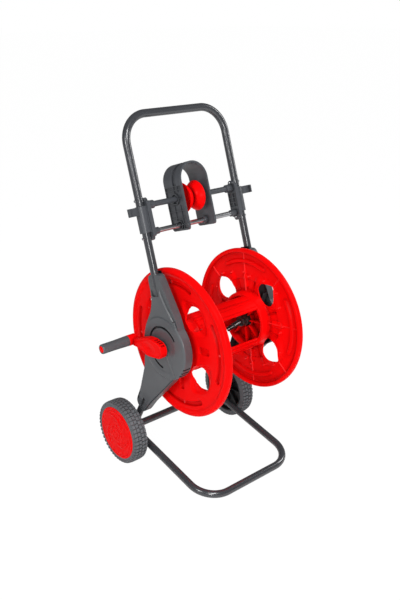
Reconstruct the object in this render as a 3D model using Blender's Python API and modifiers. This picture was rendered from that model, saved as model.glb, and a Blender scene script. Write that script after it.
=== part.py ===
"""Garden hose reel cart: a bent-tube cart on two wheels with a winding reel and a sliding hose guide.

Metres, +Z up. The origin is on the floor under the middle of the front foot tube. +X points to the
user's right hand side seen from the front (the water inlet side), and the crank is on -X. +Y points
back, to the wheels.
"""

from math import acos, asin, atan, cos, pi, radians, sin, tan

import bmesh
import bpy
from mathutils import Vector

# ---------------------------------------------------------------- driving dimensions
GAP = 0.0003                 # clearance between pieces that touch
TUBE_RADIUS = 0.010          # frame tube, to the flats of its faceted surface
TUBE_WALL = 0.0012
TUBE_SIDES = 12
BEND_RADIUS = 0.070          # large bends of the handle and of the foot

LEG_X = 0.1592               # handle legs, each side of the middle
LEG_LEAN = atan(0.320)       # the handle and its fittings lean back
ROD_Y = 0.2505               # upper guide rod, which also is the origin of the leaning fittings
ROD_Z = 0.7415
HANDLE_TOP = 0.2209          # along the legs, from the upper rod to the handle bar
HANDLE_BOTTOM = -0.2330

BASE_X = 0.1576
BASE_CORNER = (0.3294, 0.0782)    # (y, z) where the foot tube and its riser would meet
RISER_DIRECTION = Vector((-0.483, 0.8756)).normalized()
RISER_LENGTH = 0.1443
RISER_LEAN = asin(-RISER_DIRECTION.x)
RISER_BEND = 0.0242

REEL_Y = 0.1529
REEL_Z = 0.3972
FLANGE_RADIUS = 0.1972
SHAFT_RADIUS = 0.011
PLATE_FACE = 0.1715          # outer face of the side plates' arms
PLATE_RIM = 0.1450
PLATE_WALL = 0.0030
DISC_FACE = 0.1745
DISC_RIM = 0.1390
DISC_RADIUS = 0.0840
DISC_FLOOR = 0.1712          # how deep the disc's pocket goes from the reel's side

AXLE_Y = 0.3163
AXLE_Z = 0.0914
AXLE_RADIUS = 0.004
TYRE_RADIUS = 0.0914
TYRE_INNER_X = 0.1785
TYRE_OUTER_X = 0.2205

CRANK_REACH = 0.1140         # reel axis to grip axis
CRANK_DROP = 0.0100
GUIDE_X = -0.0055            # middle of the hose guide at rest
GUIDE_HALF_WIDTH = 0.0450
GUIDE_DEPTH = 0.0720
GUIDE_SPRING = 0.0480        # where the guide's arch starts, above the upper rod
GUIDE_FOOT = -0.0810
LOWER_ROD = -0.0661          # lower guide rod, along the legs
UPPER_ROD_RADIUS = 0.0073
LOWER_ROD_RADIUS = 0.0063

SIDEWAYS = (pi / 2, 0.0, pi / 2)   # turns local (x, y, z) to (+Y, +Z, +X)
UPRIGHT = (pi / 2, 0.0, 0.0)       # turns local (x, y, z) to (+X, +Z, -Y)
UNTURNED = (0.0, 0.0, 0.0)

for old in list(bpy.data.objects):
    bpy.data.objects.remove(old, do_unlink=True)

PARTS = bpy.data.collections.new("garden_hose_reel_cart")
CUTTERS = bpy.data.collections.new("cutters")
for group in (PARTS, CUTTERS):
    bpy.context.scene.collection.children.link(group)


# ---------------------------------------------------------------- materials
def material(name, colour, roughness, metallic=0.0):
    made = bpy.data.materials.new(name)
    made.use_nodes = True
    shader = made.node_tree.nodes["Principled BSDF"]
    shader.inputs["Base Color"].default_value = (*colour, 1.0)
    shader.inputs["Roughness"].default_value = roughness
    shader.inputs["Metallic"].default_value = metallic
    return made


RED = (0.80, 0.010, 0.012)
FINISHES = {
    "tube": ((0.058, 0.060, 0.066), 0.35, 0.0),
    "plate": ((0.115, 0.120, 0.128), 0.55, 0.0),
    "fitting": ((0.060, 0.064, 0.070), 0.50, 0.0),
    "red": (RED, 0.35, 0.0),
    "tyre": ((0.090, 0.096, 0.105), 0.80, 0.0),
    "wheel": ((0.015, 0.016, 0.018), 0.50, 0.0),
    "steel": ((0.55, 0.56, 0.57), 0.30, 1.0),
    "black": ((0.012, 0.013, 0.014), 0.45, 0.0),
    "rubber": ((0.02, 0.02, 0.02), 0.90, 0.0),
}


def finish(obj, kind):
    obj.data.materials.append(material(f"{obj.name}_{kind}", *FINISHES[kind]))
    return obj


# ---------------------------------------------------------------- modelling helpers
def empty(name, location, rotation):
    made = bpy.data.objects.new(name, None)
    made.location = location
    made.rotation_euler = rotation
    PARTS.objects.link(made)
    return made


def place(obj, location, rotation, parent):
    obj.location = location
    obj.rotation_euler = rotation
    obj.parent = parent
    return obj


def mesh_object(name, build, location=(0, 0, 0), rotation=(0, 0, 0), parent=None, group=PARTS):
    mesh = bpy.data.meshes.new(name)
    work = bmesh.new()
    build(work)
    work.to_mesh(mesh)
    work.free()
    obj = bpy.data.objects.new(name, mesh)
    group.objects.link(obj)
    return place(obj, location, rotation, parent)


def from_curve(name, curve, location, rotation, parent, group):
    """A mesh object made of a curve, with the curve's loose caps welded."""
    drawn = bpy.data.objects.new(f"{name}_curve", curve)
    bpy.context.scene.collection.objects.link(drawn)
    place(drawn, location, rotation, parent)
    bpy.context.view_layer.update()
    evaluated = drawn.evaluated_get(bpy.context.evaluated_depsgraph_get())
    mesh = bpy.data.meshes.new_from_object(evaluated)
    work = bmesh.new()
    work.from_mesh(mesh)
    bmesh.ops.remove_doubles(work, verts=work.verts, dist=0.00001)
    work.to_mesh(mesh)
    work.free()
    obj = bpy.data.objects.new(name, mesh)
    group.objects.link(obj)
    obj.matrix_world = drawn.matrix_world.copy()
    bpy.data.objects.remove(drawn, do_unlink=True)
    return obj


def outline_solid(name, points, thickness, location, rotation, parent=None, group=PARTS):
    """A flat outline of (x, y) points, extruded to a thickness about its own plane."""
    curve = bpy.data.curves.new(name, "CURVE")
    curve.dimensions = "2D"
    curve.fill_mode = "BOTH"
    curve.extrude = thickness / 2
    spline = curve.splines.new("POLY")
    spline.points.add(len(points) - 1)
    for point, (x, y) in zip(spline.points, points):
        point.co = (x, y, 0, 1)
    spline.use_cyclic_u = True
    return from_curve(name, curve, location, rotation, parent, group)


def tube(name, path, radius, wall, location=(0, 0, 0), rotation=(0, 0, 0), parent=None, turn=0.0):
    """A tube of a faceted section along a path, hollow when it has a wall."""
    curve = bpy.data.curves.new(name, "CURVE")
    curve.dimensions = "3D"
    curve.bevel_depth = radius / cos(pi / TUBE_SIDES)
    curve.bevel_resolution = TUBE_SIDES // 2 - 2
    curve.use_fill_caps = not wall
    spline = curve.splines.new("POLY")
    spline.points.add(len(path) - 1)
    for point, spot in zip(spline.points, path):
        point.co = (*spot, 1)
        point.tilt = turn
    obj = from_curve(name, curve, location, rotation, parent, PARTS)
    if wall:
        shell = obj.modifiers.new("wall", "SOLIDIFY")
        shell.thickness = wall
        shell.offset = -1
        shell.use_even_offset = True
    return obj


def cylinder(
    name, radius, low, high, sides=24, location=(0, 0, 0), rotation=SIDEWAYS, parent=None, group=PARTS,
):
    """A cylinder along its local Z from low to high, which SIDEWAYS turns to run along +X."""
    def build(work):
        length = high - low
        bmesh.ops.create_cone(
            work, cap_ends=True, segments=sides, radius1=radius, radius2=radius, depth=length,
        )
        bmesh.ops.translate(work, verts=work.verts, vec=(0, 0, (low + high) / 2))
    return mesh_object(name, build, location, rotation, parent, group)


def box(name, low, high, location=(0, 0, 0), rotation=(0, 0, 0), parent=None, group=PARTS):
    size = [b - a for a, b in zip(low, high)]
    middle = [(a + b) / 2 for a, b in zip(low, high)]

    def build(work):
        bmesh.ops.create_cube(work, size=1.0)
        bmesh.ops.scale(work, verts=work.verts, vec=size)
        bmesh.ops.translate(work, verts=work.verts, vec=middle)
    return mesh_object(name, build, location, rotation, parent, group)


def turned(
    name, profile, steps=32, closed=True, location=(0, 0, 0), rotation=SIDEWAYS, parent=None, group=PARTS,
):
    """A profile of (radius, height) points, top to bottom on its outer side, turned about local Z."""
    def build(work):
        ring = [work.verts.new((radius, 0, height)) for radius, height in profile]
        for a, b in zip(ring, ring[1:] + ring[:1] if closed else ring[1:]):
            work.edges.new((a, b))
    obj = mesh_object(name, build, location, rotation, parent, group)
    screw = obj.modifiers.new("turn", "SCREW")
    screw.steps = steps
    screw.render_steps = steps
    screw.use_merge_vertices = True
    screw.merge_threshold = 0.00005
    screw.use_smooth_shade = True
    return obj


def boolean(obj, tool, operation):
    """Cuts or joins a piece with a tool, which is hidden and kept with the cutters."""
    step = obj.modifiers.new(tool.name, "BOOLEAN")
    step.operation = operation
    step.solver = "EXACT"
    step.object = tool
    tool.hide_render = True
    tool.display_type = "WIRE"
    return obj


def cut(obj, *tools):
    for tool in tools:
        boolean(obj, tool, "DIFFERENCE")
    return obj


def join(obj, *tools):
    for tool in tools:
        boolean(obj, tool, "UNION")
    return obj


def rounded_path(corners, radii, steps=5):
    """A path through corners with an arc of the given radius at each inner corner."""
    spots = [Vector(corner) for corner in corners]
    path = [spots[0]]
    for before, corner, after, radius in zip(spots, spots[1:], spots[2:], radii):
        back = (before - corner).normalized()
        ahead = (after - corner).normalized()
        half = acos(max(-1.0, min(1.0, back.dot(ahead)))) / 2
        centre = corner + (back + ahead).normalized() * radius / sin(half)
        start = corner + back * radius / tan(half) - centre
        end = corner + ahead * radius / tan(half) - centre
        across = (end - start.normalized() * end.dot(start.normalized())).normalized() * radius
        sweep = pi - 2 * half
        turns = [sweep * i / steps for i in range(steps + 1)]
        path += [centre + start * cos(angle) + across * sin(angle) for angle in turns]
    return path + [spots[-1]]


def arc(centre, radius, start, end, steps):
    """Points on an arc, angles in degrees."""
    angles = [radians(start + (end - start) * i / steps) for i in range(steps + 1)]
    return [(centre[0] + radius * cos(a), centre[1] + radius * sin(a)) for a in angles]


def inset(points, margin):
    """A closed outline moved inwards, each side by the same margin."""
    area = sum(a[0] * b[1] - b[0] * a[1] for a, b in zip(points, points[1:] + points[:1]))
    side = 1 if area > 0 else -1
    moved = []
    for i, here in enumerate(points):
        before = Vector(here) - Vector(points[i - 1])
        after = Vector(points[(i + 1) % len(points)]) - Vector(here)
        normals = [Vector((-edge.y, edge.x)).normalized() * side for edge in (before, after)]
        bisector = (normals[0] + normals[1]).normalized()
        moved.append(tuple(Vector(here) + bisector * margin / bisector.dot(normals[0])))
    return moved


# ---------------------------------------------------------------- frames of reference
LEANING = empty("leaning_frame", (0, ROD_Y, ROD_Z), (-LEG_LEAN, 0, 0))
REEL = empty("reel_axis", (0, REEL_Y, REEL_Z), (0, 0, 0))
AXLE = empty("axle_axis", (0, AXLE_Y, AXLE_Z), (0, 0, 0))
SIDES = (("left", -1), ("right", 1))


def leg_yz(forward, up):
    """(y, z) of a point given forward of the legs and up along them, from the upper rod."""
    return (
        ROD_Y + up * sin(LEG_LEAN) - forward * cos(LEG_LEAN),
        ROD_Z + up * cos(LEG_LEAN) + forward * sin(LEG_LEAN),
    )


def riser_yz(forward, up):
    """(y, z) of a point given forward of the riser tubes and up along them, from their lower corner."""
    return (
        BASE_CORNER[0] + up * RISER_DIRECTION.x - forward * RISER_DIRECTION.y,
        BASE_CORNER[1] + up * RISER_DIRECTION.y + forward * RISER_DIRECTION.x,
    )


def facing(profile, sign):
    """A profile written for the +X side, or its mirror image for the -X side."""
    return profile if sign > 0 else [(radius, -height) for radius, height in reversed(profile)]


def span(first, last, sign):
    """The lower and the higher X of a stretch given outwards from the middle, on one side."""
    return sorted((sign * first, sign * last))


# ---------------------------------------------------------------- tube frame
CLAMP_SCREWS = (0.0142, -0.0790)      # along the legs
PLATE_TOP = -0.1726                   # top edge of the side plates, along the legs
SOCKET_RADIUS = 0.0124
SCREW_HOLE = 0.0024
LEG_SCREW_SPOT = leg_yz(0, PLATE_TOP - 0.031)
RISER_SCREW_SPOT = riser_yz(0, 0.130)


def make_handle():
    corners = [
        (-LEG_X, 0, HANDLE_BOTTOM), (-LEG_X, 0, HANDLE_TOP),
        (LEG_X, 0, HANDLE_TOP), (LEG_X, 0, HANDLE_BOTTOM),
    ]
    path = rounded_path(corners, [BEND_RADIUS] * 2)
    handle = tube("handle_tube", path, TUBE_RADIUS, TUBE_WALL, parent=LEANING)
    finish(handle, "tube")
    for height in CLAMP_SCREWS:
        spot = (0, 0, height)
        hole = cylinder("clamp_screw_hole", SCREW_HOLE, -0.2, 0.2, 12, spot, parent=LEANING, group=CUTTERS)
        cut(handle, hole)
    for side, sign in SIDES:
        low, high = span(0.140, 0.158, sign)
        spot = (0, *LEG_SCREW_SPOT)
        cut(handle, cylinder(f"{side}_leg_screw_hole", SCREW_HOLE, low, high, 12, spot, group=CUTTERS))


def make_base():
    foot_y, foot_z = 0.0, TUBE_RADIUS
    riser = Vector(BASE_CORNER) + RISER_DIRECTION * RISER_LENGTH
    corners = [
        (-BASE_X, *riser), (-BASE_X, *BASE_CORNER), (-BASE_X, foot_y, foot_z),
        (BASE_X, foot_y, foot_z), (BASE_X, *BASE_CORNER), (BASE_X, *riser),
    ]
    radii = [RISER_BEND, BEND_RADIUS, BEND_RADIUS, RISER_BEND]
    slope = atan((BASE_CORNER[1] - foot_z) / BASE_CORNER[0])
    path = rounded_path(corners, radii)
    base = tube("base_tube", path, TUBE_RADIUS, TUBE_WALL, turn=pi / TUBE_SIDES - slope)
    finish(base, "tube")
    cut(base, cylinder("axle_hole", 0.0043, -0.18, 0.18, 16, parent=AXLE, group=CUTTERS))
    for side, sign in SIDES:
        low, high = span(0.138, 0.1565, sign)
        spot = (0, *RISER_SCREW_SPOT)
        cut(base, cylinder(f"{side}_riser_screw_hole", SCREW_HOLE, low, high, 12, spot, group=CUTTERS))


def make_axle():
    end = BASE_X - TUBE_RADIUS / cos(pi / TUBE_SIDES) - GAP
    bar = turned("axle_tube", [(0.0100, end), (0.0100, -end), (0.0088, -end), (0.0088, end)], 16, parent=AXLE)
    finish(bar, "tube")
    finish(cylinder("axle_rod", AXLE_RADIUS, -0.2145, 0.2145, 14, parent=AXLE), "steel")


# ---------------------------------------------------------------- side plates
def arms_outline():
    """The plate's two arms in (y, z): one up the leg, one down to the riser, meeting behind the disc."""
    return [
        leg_yz(0.020, PLATE_TOP),
        leg_yz(-0.015, PLATE_TOP),
        leg_yz(-0.018, PLATE_TOP - 0.0410),
        leg_yz(-0.024, PLATE_TOP - 0.0650),
        leg_yz(-0.040, PLATE_TOP - 0.0930),
        (REEL_Y + 0.0800, REEL_Z + 0.0300),
        (REEL_Y + 0.0830, REEL_Z - 0.0250),
        (0.2400, 0.3150),
        riser_yz(-0.0200, 0.172),
        riser_yz(-0.0160, 0.116),
        riser_yz(0.0140, 0.111),
        riser_yz(0.0210, 0.117),
        riser_yz(0.0296, 0.169),
        (REEL_Y - 0.0300, REEL_Z - 0.0785),
        (REEL_Y - 0.0700, REEL_Z + 0.0200),
        leg_yz(0.053, PLATE_TOP - 0.1070),
    ]


def make_side_plate(side, sign):
    """A moulded shell, open towards the reel, with sockets for the leg, the riser and the reel's shaft."""
    def prism(name, outline, first, last, group):
        low, high = span(first, last, sign)
        middle = ((low + high) / 2, 0, 0)
        return outline_solid(f"{side}_{name}", outline, high - low, middle, SIDEWAYS, group=group)

    def drum(name, radius, first, last, sides, centre):
        low, high = span(first, last, sign)
        return cylinder(f"{side}_{name}", radius, low, high, sides, (0, *centre), group=CUTTERS)

    def post(name, radius, low, high, x, lean, parent=None):
        foot = (sign * x, 0, 0) if parent else (sign * x, *BASE_CORNER)
        return cylinder(f"{side}_{name}", radius, low, high, 16, foot, (lean, 0, 0), parent, CUTTERS)

    outline = arms_outline()
    reel = (REEL_Y, REEL_Z)
    plate = prism("side_plate", outline, PLATE_RIM, PLATE_FACE, PARTS)
    join(plate, drum("disc_body", DISC_RADIUS, DISC_RIM, DISC_FACE, 32, reel))
    cut(
        plate,
        prism("arm_pocket", inset(outline, PLATE_WALL), PLATE_RIM - 0.010, PLATE_FACE - PLATE_WALL, CUTTERS),
        drum("disc_pocket", DISC_RADIUS - PLATE_WALL, DISC_RIM - 0.010, DISC_FLOOR, 32, reel),
    )
    join(
        plate,
        drum("hub_boss", 0.0185, DISC_RIM, DISC_FACE - 0.001, 20, reel),
        post("leg_boss", SOCKET_RADIUS, -0.2380, PLATE_TOP - 0.001, LEG_X, 0, LEANING),
        post("riser_boss", SOCKET_RADIUS, 0.1145, 0.1530, BASE_X, RISER_LEAN),
    )
    bore = TUBE_RADIUS / cos(pi / TUBE_SIDES) + 0.0006
    cut(
        plate,
        post("leg_bore", bore, HANDLE_BOTTOM - 0.0005, -0.10, LEG_X, 0, LEANING),
        post("riser_bore", bore, 0.05, RISER_LENGTH + 0.0005, BASE_X, RISER_LEAN),
        drum("shaft_bore", 0.0145, 0.130, 0.180, 20, reel),
        drum("leg_screw_bore", SCREW_HOLE, 0.140, 0.152, 12, LEG_SCREW_SPOT),
        drum("riser_screw_bore", SCREW_HOLE, 0.140, 0.152, 12, RISER_SCREW_SPOT),
    )
    finish(plate, "plate")


def make_plate_screws(side, sign):
    """Screws that pin each tube in its socket, put in from the reel's side."""
    for name, x, spot in (("leg", LEG_X, LEG_SCREW_SPOT), ("riser", BASE_X, RISER_SCREW_SPOT)):
        seat = x - SOCKET_RADIUS - GAP
        tip, top = seat + 0.008, seat - 0.0022
        profile = [(0, tip), (0.0020, tip), (0.0020, seat), (0.0038, seat), (0.0038, top), (0, top)]
        screw = turned(f"{side}_{name}_screw", facing(profile, sign), 12, False, (0, *spot))
        finish(screw, "steel")


def make_bearing(side, sign):
    ring = [(0.0141, 0.1741), (0.0141, DISC_RIM + 0.0002), (0.0114, DISC_RIM + 0.0002), (0.0114, 0.1741)]
    finish(turned(f"{side}_bearing_bush", facing(ring, sign), 20, parent=REEL), "black")


# ---------------------------------------------------------------- reel
FLANGE_WEB = 0.1240          # inner face of the flange's web
DRUM_HALF_LENGTH = 0.1000
COLLAR_RADIUS = 0.0200       # collar of each shaft, inside the flange
COLLAR_FACE = FLANGE_WEB - GAP
COLLAR_BACK = FLANGE_WEB - 0.0033


def lobe(radius, radial, tangential, angle, steps=16):
    """A rounded hole's outline in (y, z) about the reel's axis; angles from the front, upwards."""
    points = []
    for i in range(steps):
        turn = 2 * pi * i / steps
        out = radius + radial * cos(turn)
        side = tangential * sin(turn)
        y = -out * cos(angle) + side * sin(angle)
        z = out * sin(angle) + side * cos(angle)
        points.append((y, z))
    return points


def make_flange(side, sign):
    profile = [
        (0.1905, 0.1322), (FLANGE_RADIUS, 0.1260), (FLANGE_RADIUS, 0.1160), (0.1920, 0.1140),
        (0.1860, 0.1160), (0.1830, FLANGE_WEB), (0.0800, FLANGE_WEB), (0.0760, 0.1010),
        (0.0740, DRUM_HALF_LENGTH), (0.0680, DRUM_HALF_LENGTH), (0.0670, FLANGE_WEB), (0.0116, FLANGE_WEB),
        (0.0116, FLANGE_WEB + 0.004), (0.1780, FLANGE_WEB + 0.004), (0.1810, 0.1322),
    ]
    flange = turned(f"{side}_flange", facing(profile, sign), 36, parent=REEL)
    for i in range(4):
        hole = lobe(0.1120, 0.0330, 0.0300, radians(53 + 90 * i))
        place_of_hole = (sign * 0.130, 0, 0)
        cut(flange, outline_solid(f"{side}_flange_hole", hole, 0.1, place_of_hole, SIDEWAYS, REEL, CUTTERS))
    finish(flange, "red")


def make_drum_slats():
    length = 2 * (DRUM_HALF_LENGTH - GAP)
    for i in range(3):
        start = 180 - 92 + 120 * i
        outline = arc((0, 0), 0.0755, start, start + 51, 8) + arc((0, 0), 0.0705, start + 51, start, 8)
        slat = outline_solid(f"drum_slat_{i + 1}", outline, length, (0, 0, 0), SIDEWAYS, REEL)
        finish(slat, "red")


def make_crank_shaft():
    profile = [
        (0.0080, 0.1890), (0.0080, 0.1770), (SHAFT_RADIUS, 0.1770), (SHAFT_RADIUS, COLLAR_FACE),
        (COLLAR_RADIUS, COLLAR_FACE), (COLLAR_RADIUS, COLLAR_BACK), (0.0027, COLLAR_BACK), (0.0027, 0.1890),
    ]
    finish(turned("crank_shaft", facing(profile, -1), 20, parent=REEL), "black")
    seat = COLLAR_BACK - GAP
    top = seat - 0.003
    profile = [(0, 0.1935), (0.0023, 0.1935), (0.0023, seat), (0.0050, seat), (0.0050, top), (0, top)]
    finish(turned("crank_screw", facing(profile, -1), 16, False, parent=REEL), "steel")


def crank_outline():
    """The arm in (y, z) about the reel's axis: a round hub, a waist and a round end at the grip."""
    under = [(0.0235, -0.0270), (0.0450, -0.0285), (0.0600, -0.0240), (0.0810, -0.0215)]
    over = [(0.0770, 0.0065), (0.0600, 0.0145), (0.0470, 0.0200), (0.0210, 0.0240)]
    end = arc((0.1115, -0.0115), 0.0105, -95, 90, 8)
    return arc((0, 0), 0.0220, 80, 275, 12) + under + end + over


def make_crank():
    arm = outline_solid("crank_arm", crank_outline(), 0.018, (-0.187, 0, 0), SIDEWAYS, REEL)
    grip_spot = (0, CRANK_REACH, -CRANK_DROP)
    join(arm, cylinder("crank_end", 0.0145, -0.2040, -0.1800, 24, grip_spot, parent=REEL, group=CUTTERS))
    cut(
        arm,
        cylinder("crank_socket", 0.0083, -0.1893, -0.17, 20, parent=REEL, group=CUTTERS),
        cylinder("crank_thread", 0.0026, -0.1940, -0.17, 12, parent=REEL, group=CUTTERS),
        cylinder("pin_socket", 0.0063, -0.21, -0.1860, 16, grip_spot, parent=REEL, group=CUTTERS),
    )
    finish(arm, "red")
    finish(cylinder("crank_pin", 0.0060, -0.2815, -0.1863, 20, grip_spot, parent=REEL), "steel")
    cap = [(0, 0.2850), (0.0075, 0.2850), (0.0090, 0.2840), (0.0090, 0.2818), (0, 0.2818)]
    finish(turned("grip_cap", facing(cap, -1), 20, False, grip_spot, parent=REEL), "red")
    grip = [
        (0.0094, 0.2845), (0.0110, 0.2845), (0.0125, 0.2825), (0.0130, 0.2450), (0.0140, 0.2080),
        (0.0138, 0.2043), (0.0064, 0.2043), (0.0064, 0.2812), (0.0094, 0.2812),
    ]
    finish(turned("crank_grip", facing(grip, -1), 20, True, grip_spot, parent=REEL), "plate")


def make_water_way():
    """The rotating water way from the swivel inlet, through the right shaft, to the hose inside the drum."""
    profile = [
        (SHAFT_RADIUS, 0.1770), (SHAFT_RADIUS, COLLAR_FACE), (COLLAR_RADIUS, COLLAR_FACE),
        (COLLAR_RADIUS, COLLAR_BACK), (0.0060, COLLAR_BACK), (0.0060, 0.1770),
    ]
    finish(turned("inlet_shaft", profile, 20, parent=REEL), "black")

    aim = (0, radians(-133), 0)
    elbow = cylinder("hose_elbow", 0.0155, 0.0880, COLLAR_BACK - GAP, 20, parent=REEL)
    join(elbow, cylinder("elbow_branch", 0.0082, 0.0, 0.0210, 16, (0.100, 0, 0), aim, REEL, CUTTERS))
    cut(
        elbow,
        cylinder("elbow_bore", 0.0060, 0.094, 0.13, 12, parent=REEL, group=CUTTERS),
        cylinder("branch_bore", 0.0042, -0.001, 0.03, 12, (0.100, 0, 0), aim, REEL, CUTTERS),
    )
    finish(elbow, "black")
    finish(hose_nipple("hose_nipple", 0.0213, (0.100, 0, 0), aim), "black")

    body = [(0, 0.1980), (0.0190, 0.1980), (0.0190, 0.1750), (0.0114, 0.1750), (0.0114, 0.1900), (0, 0.1900)]
    housing = turned("inlet_housing", body, 20, False, parent=REEL)
    down = (radians(-150), 0, 0)
    join(housing, cylinder("inlet_spout", 0.0085, 0.0, 0.0420, 16, (0.1860, 0, 0), down, REEL, CUTTERS))
    cut(
        housing,
        cylinder("housing_pocket", 0.0115, 0.17, 0.1900, 20, parent=REEL, group=CUTTERS),
        cylinder("spout_bore", 0.0042, 0.0, 0.05, 12, (0.1850, 0, 0), down, REEL, CUTTERS),
    )
    finish(housing, "black")
    finish(hose_nipple("inlet_nipple", 0.0423, (0.1860, 0, 0), down), "black")
    seal = [(0.0110, 0.1800), (0.0110, 0.1773), (0.0065, 0.1773), (0.0065, 0.1800)]
    finish(turned("inlet_seal", seal, 16, parent=REEL), "rubber")


def hose_nipple(name, start, location, aim):
    """A quick-connect nose that a hose coupling snaps onto, start metres along its own axis."""
    steps = [
        (0.0, 0.0082), (0.006, 0.0082), (0.006, 0.0066), (0.010, 0.0066),
        (0.010, 0.0080), (0.013, 0.0080), (0.014, 0.0066), (0.024, 0.0066),
    ]
    outer = [(radius, start + along) for along, radius in reversed(steps)]
    bore = [(0.0045, start), (0.0045, start + 0.024)]
    return turned(name, outer + bore, 14, True, location, aim, REEL)


# ---------------------------------------------------------------- wheels
def make_wheel(side, sign):
    steps = 34               # an odd number of half turns puts a flat of the tread on the floor
    tread = TYRE_RADIUS / cos(pi / steps)
    tyre = [
        (0.0790, TYRE_OUTER_X), (0.0880, 0.2195), (tread, 0.2150), (tread, 0.1840), (0.0880, 0.1795),
        (0.0790, TYRE_INNER_X), (0.0750, TYRE_INNER_X), (0.0750, TYRE_OUTER_X),
    ]
    finish(turned(f"{side}_tyre", facing(tyre, sign), steps, parent=AXLE), "tyre")
    disc = [
        (0.0742, 0.2200), (0.0742, 0.1785), (0.0690, 0.1770), (0.0690, 0.2030),
        (0.0120, 0.2030), (0.0100, 0.1790), (0.0044, 0.1790), (0.0044, 0.2095),
        (0.0110, 0.2095), (0.0120, 0.2070), (0.0690, 0.2070), (0.0700, 0.2200),
    ]
    finish(turned(f"{side}_wheel_disc", facing(disc, sign), 24, parent=AXLE), "wheel")
    cap = [
        (0, 0.2243), (0.0650, 0.2238), (0.0758, 0.2222), (0.0758, 0.2208), (0.0684, 0.2208),
        (0.0684, 0.2120), (0.0660, 0.2120), (0.0660, 0.2213), (0, 0.2218),
    ]
    finish(turned(f"{side}_hub_cap", facing(cap, sign), 26, False, parent=AXLE), "red")
    spacer = [(0.0090, 0.1787), (0.0090, 0.1683), (0.0043, 0.1683), (0.0043, 0.1787)]
    finish(turned(f"{side}_wheel_spacer", facing(spacer, sign), 14, parent=AXLE), "black")
    retainer = [(0.0090, 0.2120), (0.0090, 0.2098), (0.0043, 0.2098), (0.0043, 0.2120)]
    finish(turned(f"{side}_axle_retainer", facing(retainer, sign), 14, parent=AXLE), "steel")


# ---------------------------------------------------------------- hose guide
CLAMP_FACE = 0.1395          # inner face of the clamp plates
SOCKET_END = 0.1205          # where the rod sockets start
ROD_END = 0.1388
TUBE_CLEAR = 0.0109
GUIDE_WALL = 0.0050


def make_rods():
    upper = cylinder("upper_guide_rod", UPPER_ROD_RADIUS, -ROD_END, ROD_END, 16, parent=LEANING)
    lower_spot = (0, 0, LOWER_ROD)
    lower = cylinder("lower_guide_rod", LOWER_ROD_RADIUS, -ROD_END, ROD_END, 16, lower_spot, parent=LEANING)
    finish(upper, "fitting")
    finish(lower, "steel")


def make_guide():
    """An inverted U that slides on both rods, with a roller that the hose runs over."""
    inner = GUIDE_HALF_WIDTH - GUIDE_WALL
    outline = arc((0, GUIDE_SPRING), GUIDE_HALF_WIDTH, 0, 180, 12)
    outline += [(-GUIDE_HALF_WIDTH, GUIDE_FOOT), (-inner, GUIDE_FOOT)]
    outline += arc((0, GUIDE_SPRING), inner, 180, 0, 12)
    outline += [(inner, GUIDE_FOOT), (GUIDE_HALF_WIDTH, GUIDE_FOOT)]
    guide = outline_solid("hose_guide", outline, GUIDE_DEPTH, (GUIDE_X, 0, 0), UPRIGHT, LEANING)
    rods = (("upper", 0.0115, 0.0078, 0, 0.0243), ("lower", 0.0098, 0.0068, LOWER_ROD, 0.0300))
    for name, boss_radius, hole_radius, height, start in rods:
        spot = (GUIDE_X, 0, height)
        for sign in (-1, 1):
            low, high = span(start, 0.0475, sign)
            boss = cylinder(f"{name}_boss", boss_radius, low, high, 16, spot, parent=LEANING, group=CUTTERS)
            join(guide, boss)
        cut(guide, cylinder(f"{name}_hole", hole_radius, -0.1, 0.1, 16, spot, parent=LEANING, group=CUTTERS))
    finish(guide, "fitting")
    groove = [(0.0390, 0.0238), (0.0390, 0.0215), (0.0290, 0.0140), (0.0200, 0.0065)]
    bore = [(0.0120, -0.0238), (0.0078, -0.0238), (0.0078, 0.0238), (0.0120, 0.0238)]
    hollow = [(0.0120, 0.0075), (0.0260, 0.0150), (0.0360, 0.0238)]
    profile = groove + [(0.0170, 0)] + facing(groove, -1) + facing(hollow, -1) + bore + hollow
    finish(turned("guide_roller", profile, 24, location=(GUIDE_X, 0, 0), parent=LEANING), "red")


def clamp_outline():
    """The clamp plate across and along the legs: a ribbed middle with a screw ear at each end."""
    top = arc((0, 0.0110), 0.0085, 0, 180, 8)
    bottom = arc((0, -0.0785), 0.0085, 180, 360, 8)
    return top + [(-0.0175, 0.0), (-0.0175, -0.0660)] + bottom + [(0.0175, -0.0660), (0.0175, 0.0)]


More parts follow.
